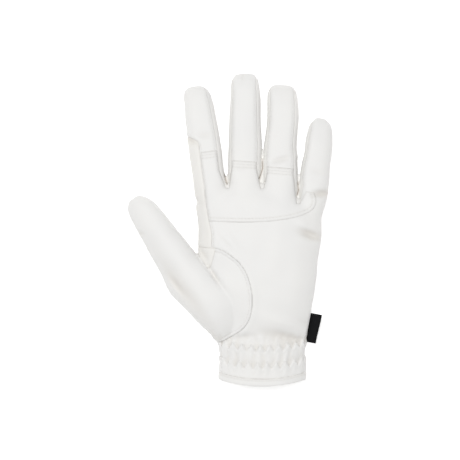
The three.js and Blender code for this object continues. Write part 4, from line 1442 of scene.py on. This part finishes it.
# Rings of a stitch: along it as a share of its length; rise and girth as shares of the thread's radius
STITCH_RINGS = [(-0.36, 0.15, 0.75), (0, 0.5, 1), (0.36, 0.15, 0.75)]
# How far to either side of its middle a stitch takes its direction from its line
STITCH_LOOK = 0.4
# The flattest a surface may face upward, and the lowest it may lie in millimetres, to take a stitch
STITCH_FACING = 0.15
STITCH_LOWEST = 0.15
# Rays that look for the surface start this far over the floor, or outside the cuff
OVER_GLOVE = 60
OUTSIDE_CUFF = 6
# The middle of the cuff pulls these rays less from the side than from above, as the cuff is wide
SIDE_PULL = 0.55


def stitch_shape(length, radius):
    """One stitch: a short arched bar of thread, along X, as points and faces."""
    points = [(-length / 2, 0, -radius * 0.6)]
    for x, rise, girth in STITCH_RINGS:
        for k in range(6):
            turn = math.tau * k / 6
            y = math.cos(turn) * girth * radius
            z = (math.sin(turn) * girth + rise) * radius
            points.append((x * length, y, z))
    points.append((length / 2, 0, -radius * 0.6))
    faces = [(0, 1 + (k + 1) % 6, 1 + k) for k in range(6)]
    for ring in (1, 7):
        faces += [(ring + k, ring + (k + 1) % 6, ring + 6 + (k + 1) % 6, ring + 6 + k) for k in range(6)]
    faces += [(19, 13 + k, 13 + (k + 1) % 6) for k in range(6)]
    return np.array(points), faces


class Stitching:
    """Collects stitches that lie on a surface, and makes one mesh of them."""

    def __init__(self, surfaces, sizes):
        self.trees = []
        for thing in surfaces:
            graph = bpy.context.evaluated_depsgraph_get()
            self.trees.append(BVHTree.FromObject(thing, graph))
        self.shape, self.faces = stitch_shape(sizes.stitch, sizes.thread)
        self.pitch = sizes.pitch
        self.points = []
        self.found = []

    def hit(self, start, way):
        """Where a ray first meets a surface, in millimetres in the model's frame, and the normal there."""
        best = None
        for tree in self.trees:
            place, normal, index, distance = tree.ray_cast(Vector(start) * MM, Vector(way), 0.2)
            if place is not None and (best is None or distance < best[2]):
                best = (np.array(place) / MM, np.array(normal), distance)
        return best

    def add(self, place, normal, along):
        """Lays one stitch at a place, along a direction."""
        along = along - normal * (along @ normal)
        size = np.linalg.norm(along)
        if size < 1e-6:
            return
        along = along / size
        side = np.cross(normal, along)
        turned = self.shape[:, :1] * along + self.shape[:, 1:2] * side + self.shape[:, 2:] * normal
        first = len(self.found) * len(self.shape)
        self.found.append([[i + first for i in face] for face in self.faces])
        self.points.append(turned + place)

    def along_plan(self, line):
        """Stitches along a line in the plan, dropped on the surface from above."""
        line = np.array(line) + SHIFT[:2]
        run = run_along(line)
        for at in np.arange(self.pitch / 2, run[-1], self.pitch):
            start, end = (point_at(at + look, run, line) for look in (-STITCH_LOOK, STITCH_LOOK))
            found = self.hit((*(start + end) / 2, OVER_GLOVE), (0, 0, -1))
            if found is None or found[1][2] < STITCH_FACING:
                continue
            way = np.array([*(end - start), 0])
            slope = -(way[:2] @ found[1][:2]) / found[1][2]
            self.add(found[0], found[1], np.array([way[0], way[1], slope]))

    def round_cuff(self, heights, turns):
        """Stitches round the cuff, through points given by their height and their turns round it."""
        run = turns / GATHER_COUNT * CUFF_GIRTH
        outline = np.concatenate([CUFF_RING, CUFF_RING[:1]])
        outline_run = run_along(outline)
        x = np.interp(run % outline_run[-1], outline_run, outline[:, 0])
        z = np.interp(run % outline_run[-1], outline_run, outline[:, 1])
        across = np.abs(x - CUFF_CENTRE) * 2 / CUFF_WIDTH
        y = HEM + heights + HEM_BOW * across**HEM_POWER
        path = np.stack([x, y, z], axis=1) + SHIFT
        path_run = run_along(path)
        core = np.array([CUFF_CENTRE + SHIFT[0], 0, CUFF_HEIGHT / 2])
        for at in np.arange(self.pitch / 2, path_run[-1], self.pitch):
            start, end = (point_at(at + look, path_run, path) for look in (-STITCH_LOOK, STITCH_LOOK))
            middle = (start + end) / 2
            inward = core - middle
            inward[1] = 0
            inward[0] *= SIDE_PULL
            inward /= np.linalg.norm(inward)
            found = self.hit(middle - inward * OUTSIDE_CUFF, inward)
            if found is not None and found[0][2] > STITCH_LOWEST:
                self.add(found[0], found[1], end - start)

    def make(self, name):
        """One piece of all the stitches, in thread."""
        mesh = bpy.data.meshes.new(name)
        faces = [face for group in self.found for face in group]
        mesh.from_pydata((np.concatenate(self.points) * MM).tolist(), [], faces)
        mesh.validate()
        made = bpy.data.objects.new(name, mesh)
        bpy.context.collection.objects.link(made)
        mesh.shade_smooth()
        finish_piece(made, [], finish_for("thread"))


class GLOVE_OT_stitching(bpy.types.Operator):
    """Stitch the seams of the palm and the thumb, the edges of the patch, the hem and the elastic rows"""

    bl_idname = "glove.stitching"
    bl_label = "Stitching"

    def execute(self, context):
        sizes = context.scene.glove_sizes
        surfaces = [bpy.data.objects[name + "_leather"] for name in ("palm_patch", *PANEL_SLOTS)]
        palm = Stitching(surfaces, sizes)
        for line, side in stitch_lines() + patch_stitch_lines():
            palm.along_plan(shifted(line, side))
        palm.make("palm_stitching")
        cuff = Stitching(surfaces, sizes)
        for row in range(len(ELASTIC_ROWS)):
            turns = np.arange(0, GATHER_COUNT + 1e-6, 0.05)
            cuff.round_cuff(zigzag(turns, row), turns)
        turns = np.linspace(0, GATHER_COUNT, 200)
        cuff.round_cuff(np.full(len(turns), HEM_DEPTH - STITCH_HEM), turns)
        cuff.make("cuff_stitching")
        return {"FINISHED"}


def label_points(length, profile):
    """The folded label's rows of points: leaning, slightly curled and swayed."""
    lean = math.radians(LABEL_LEAN)
    points = []
    for k in range(LABEL_ROWS):
        along = (k / (LABEL_ROWS - 1) - 0.5) * length
        curl = LABEL_CURL * math.sin(1.1 * along / length * math.pi + 0.4)
        sway = LABEL_SWAY * math.sin(along / length * math.pi)
        for x, z in profile:
            bend = curl * (x / LABEL_WIDTH) ** 2
            px = x + sway * x / LABEL_WIDTH
            across = px * math.cos(lean) + along * math.sin(lean)
            down = along * math.cos(lean) - px * math.sin(lean)
            points.append((LABEL_PLACE[0] + across, LABEL_PLACE[1] + down, LABEL_HEIGHT + z + bend))
    return np.array(points)


class GLOVE_OT_side_label(bpy.types.Operator):
    """Fold the bare woven label and set it into the side seam"""

    bl_idname = "glove.side_label"
    bl_label = "Side label"

    def execute(self, context):
        half = [
            (-LABEL_ROOT, -LABEL_LOOP * 0.8),
            (LABEL_WIDTH - 0.8, -LABEL_LOOP),
            (LABEL_WIDTH - 0.2, -LABEL_LOOP * 0.7),
            (LABEL_WIDTH, 0),
        ]
        profile = half + [(x, -z) for x, z in half[-2::-1]]
        count = len(profile)
        faces = [
            (k * count + j, (k + 1) * count + j, (k + 1) * count + j + 1, k * count + j + 1)
            for k in range(LABEL_ROWS - 1)
            for j in range(count - 1)
        ]
        points = label_points(context.scene.glove_sizes.label_length, profile)
        made = panel_object("side_label_ribbon", points, faces)
        turn_outward(made)
        thicken(made, LABEL_RIBBON)
        finish_piece(made, ["side_label"], finish_for("black_ribbon"))
        return {"FINISHED"}


# The studio, in metres: the lamps' places, sizes and powers, the camera's height and the width of its view
LAMPS = {
    "key": ((-0.17, 0.23, 1.5), 0.5, 13.1),
    "fill": ((0.3, -0.5, 1.5), 1.4, 1.0),
}
FLOOR_SIZE = 6
FLOOR_DROP = 0.0004
FLOOR_COLOUR = (0.9, 0.9, 0.9)
FLOOR_GLOW = 0.5
SKY_COLOUR = (1, 0.993, 0.98)
SKY_STRENGTH = 0.4
CAMERA_HEIGHT = 2.4
VIEW_HEIGHT = 0.015
VIEW_WIDTH = 0.345
FILM_WIDTH = 36


class GLOVE_OT_stage(bpy.types.Operator):
    """Set the pale floor, the soft lights from above and the camera straight over the glove"""

    bl_idname = "glove.stage"
    bl_label = "Studio"

    def execute(self, context):
        bpy.ops.object.select_all(action="DESELECT")
        bpy.ops.mesh.primitive_plane_add(size=FLOOR_SIZE, location=(0, 0, -FLOOR_DROP))
        floor = context.active_object
        floor.name = "floor"
        shader = Shader("floor_look")
        floor.data.materials.append(
            shader.give(
                Base_Color=colour(FLOOR_COLOUR),
                Roughness=0.9,
                Emission_Color=(1, 1, 1, 1),
                Emission_Strength=FLOOR_GLOW,
            )
        )
        for name, (place, size, power) in LAMPS.items():
            lamp = bpy.data.lights.new(name, "AREA")
            lamp.energy = power
            lamp.size = size
            made = bpy.data.objects.new(name, lamp)
            made.location = place
            made.rotation_euler = (-Vector(place)).to_track_quat("-Z", "Y").to_euler()
            context.collection.objects.link(made)
        world = bpy.data.worlds.new("studio")
        context.scene.world = world
        world.use_nodes = True
        sky = world.node_tree.nodes["Background"]
        sky.inputs["Color"].default_value = colour(SKY_COLOUR)
        sky.inputs["Strength"].default_value = SKY_STRENGTH
        camera = bpy.data.cameras.new("camera")
        made = bpy.data.objects.new("camera", camera)
        made.location = (0, 0, CAMERA_HEIGHT)
        camera.lens = FILM_WIDTH * (CAMERA_HEIGHT - VIEW_HEIGHT) / VIEW_WIDTH
        context.collection.objects.link(made)
        context.scene.camera = made
        context.scene.view_settings.view_transform = "Standard"
        return {"FINISHED"}


class GLOVE_PT_panel(bpy.types.Panel):
    """The glove's sizes, finish and operators"""

    bl_label = "Riding glove"
    bl_space_type = "VIEW_3D"
    bl_region_type = "UI"
    bl_category = "Glove"

    def draw(self, context):
        column = self.layout.column()
        for group in (context.scene.glove_sizes, context.scene.glove_finish):
            for name in group.bl_rna.properties.keys():
                if name not in ("rna_type", "name"):
                    column.prop(group, name)
        for step in STEPS:
            column.operator(step.bl_idname)


STEPS = (GLOVE_OT_panels, GLOVE_OT_palm_patch, GLOVE_OT_stitching, GLOVE_OT_side_label, GLOVE_OT_stage)
CLASSES = (GloveSizes, GloveFinish, *STEPS, GLOVE_PT_panel)


def register():
    for made in CLASSES:
        bpy.utils.register_class(made)
    bpy.types.Scene.glove_sizes = PointerProperty(type=GloveSizes)
    bpy.types.Scene.glove_finish = PointerProperty(type=GloveFinish)


def unregister():
    del bpy.types.Scene.glove_finish
    del bpy.types.Scene.glove_sizes
    for made in reversed(CLASSES):
        bpy.utils.unregister_class(made)


def main():
    register()
    bpy.ops.glove.panels()
    bpy.ops.glove.palm_patch()
    bpy.ops.glove.stitching()
    bpy.ops.glove.side_label()
    bpy.ops.glove.stage()
    bpy.data.objects.remove(bpy.data.objects["hand_skin"])


if __name__ == "__main__":
    main()
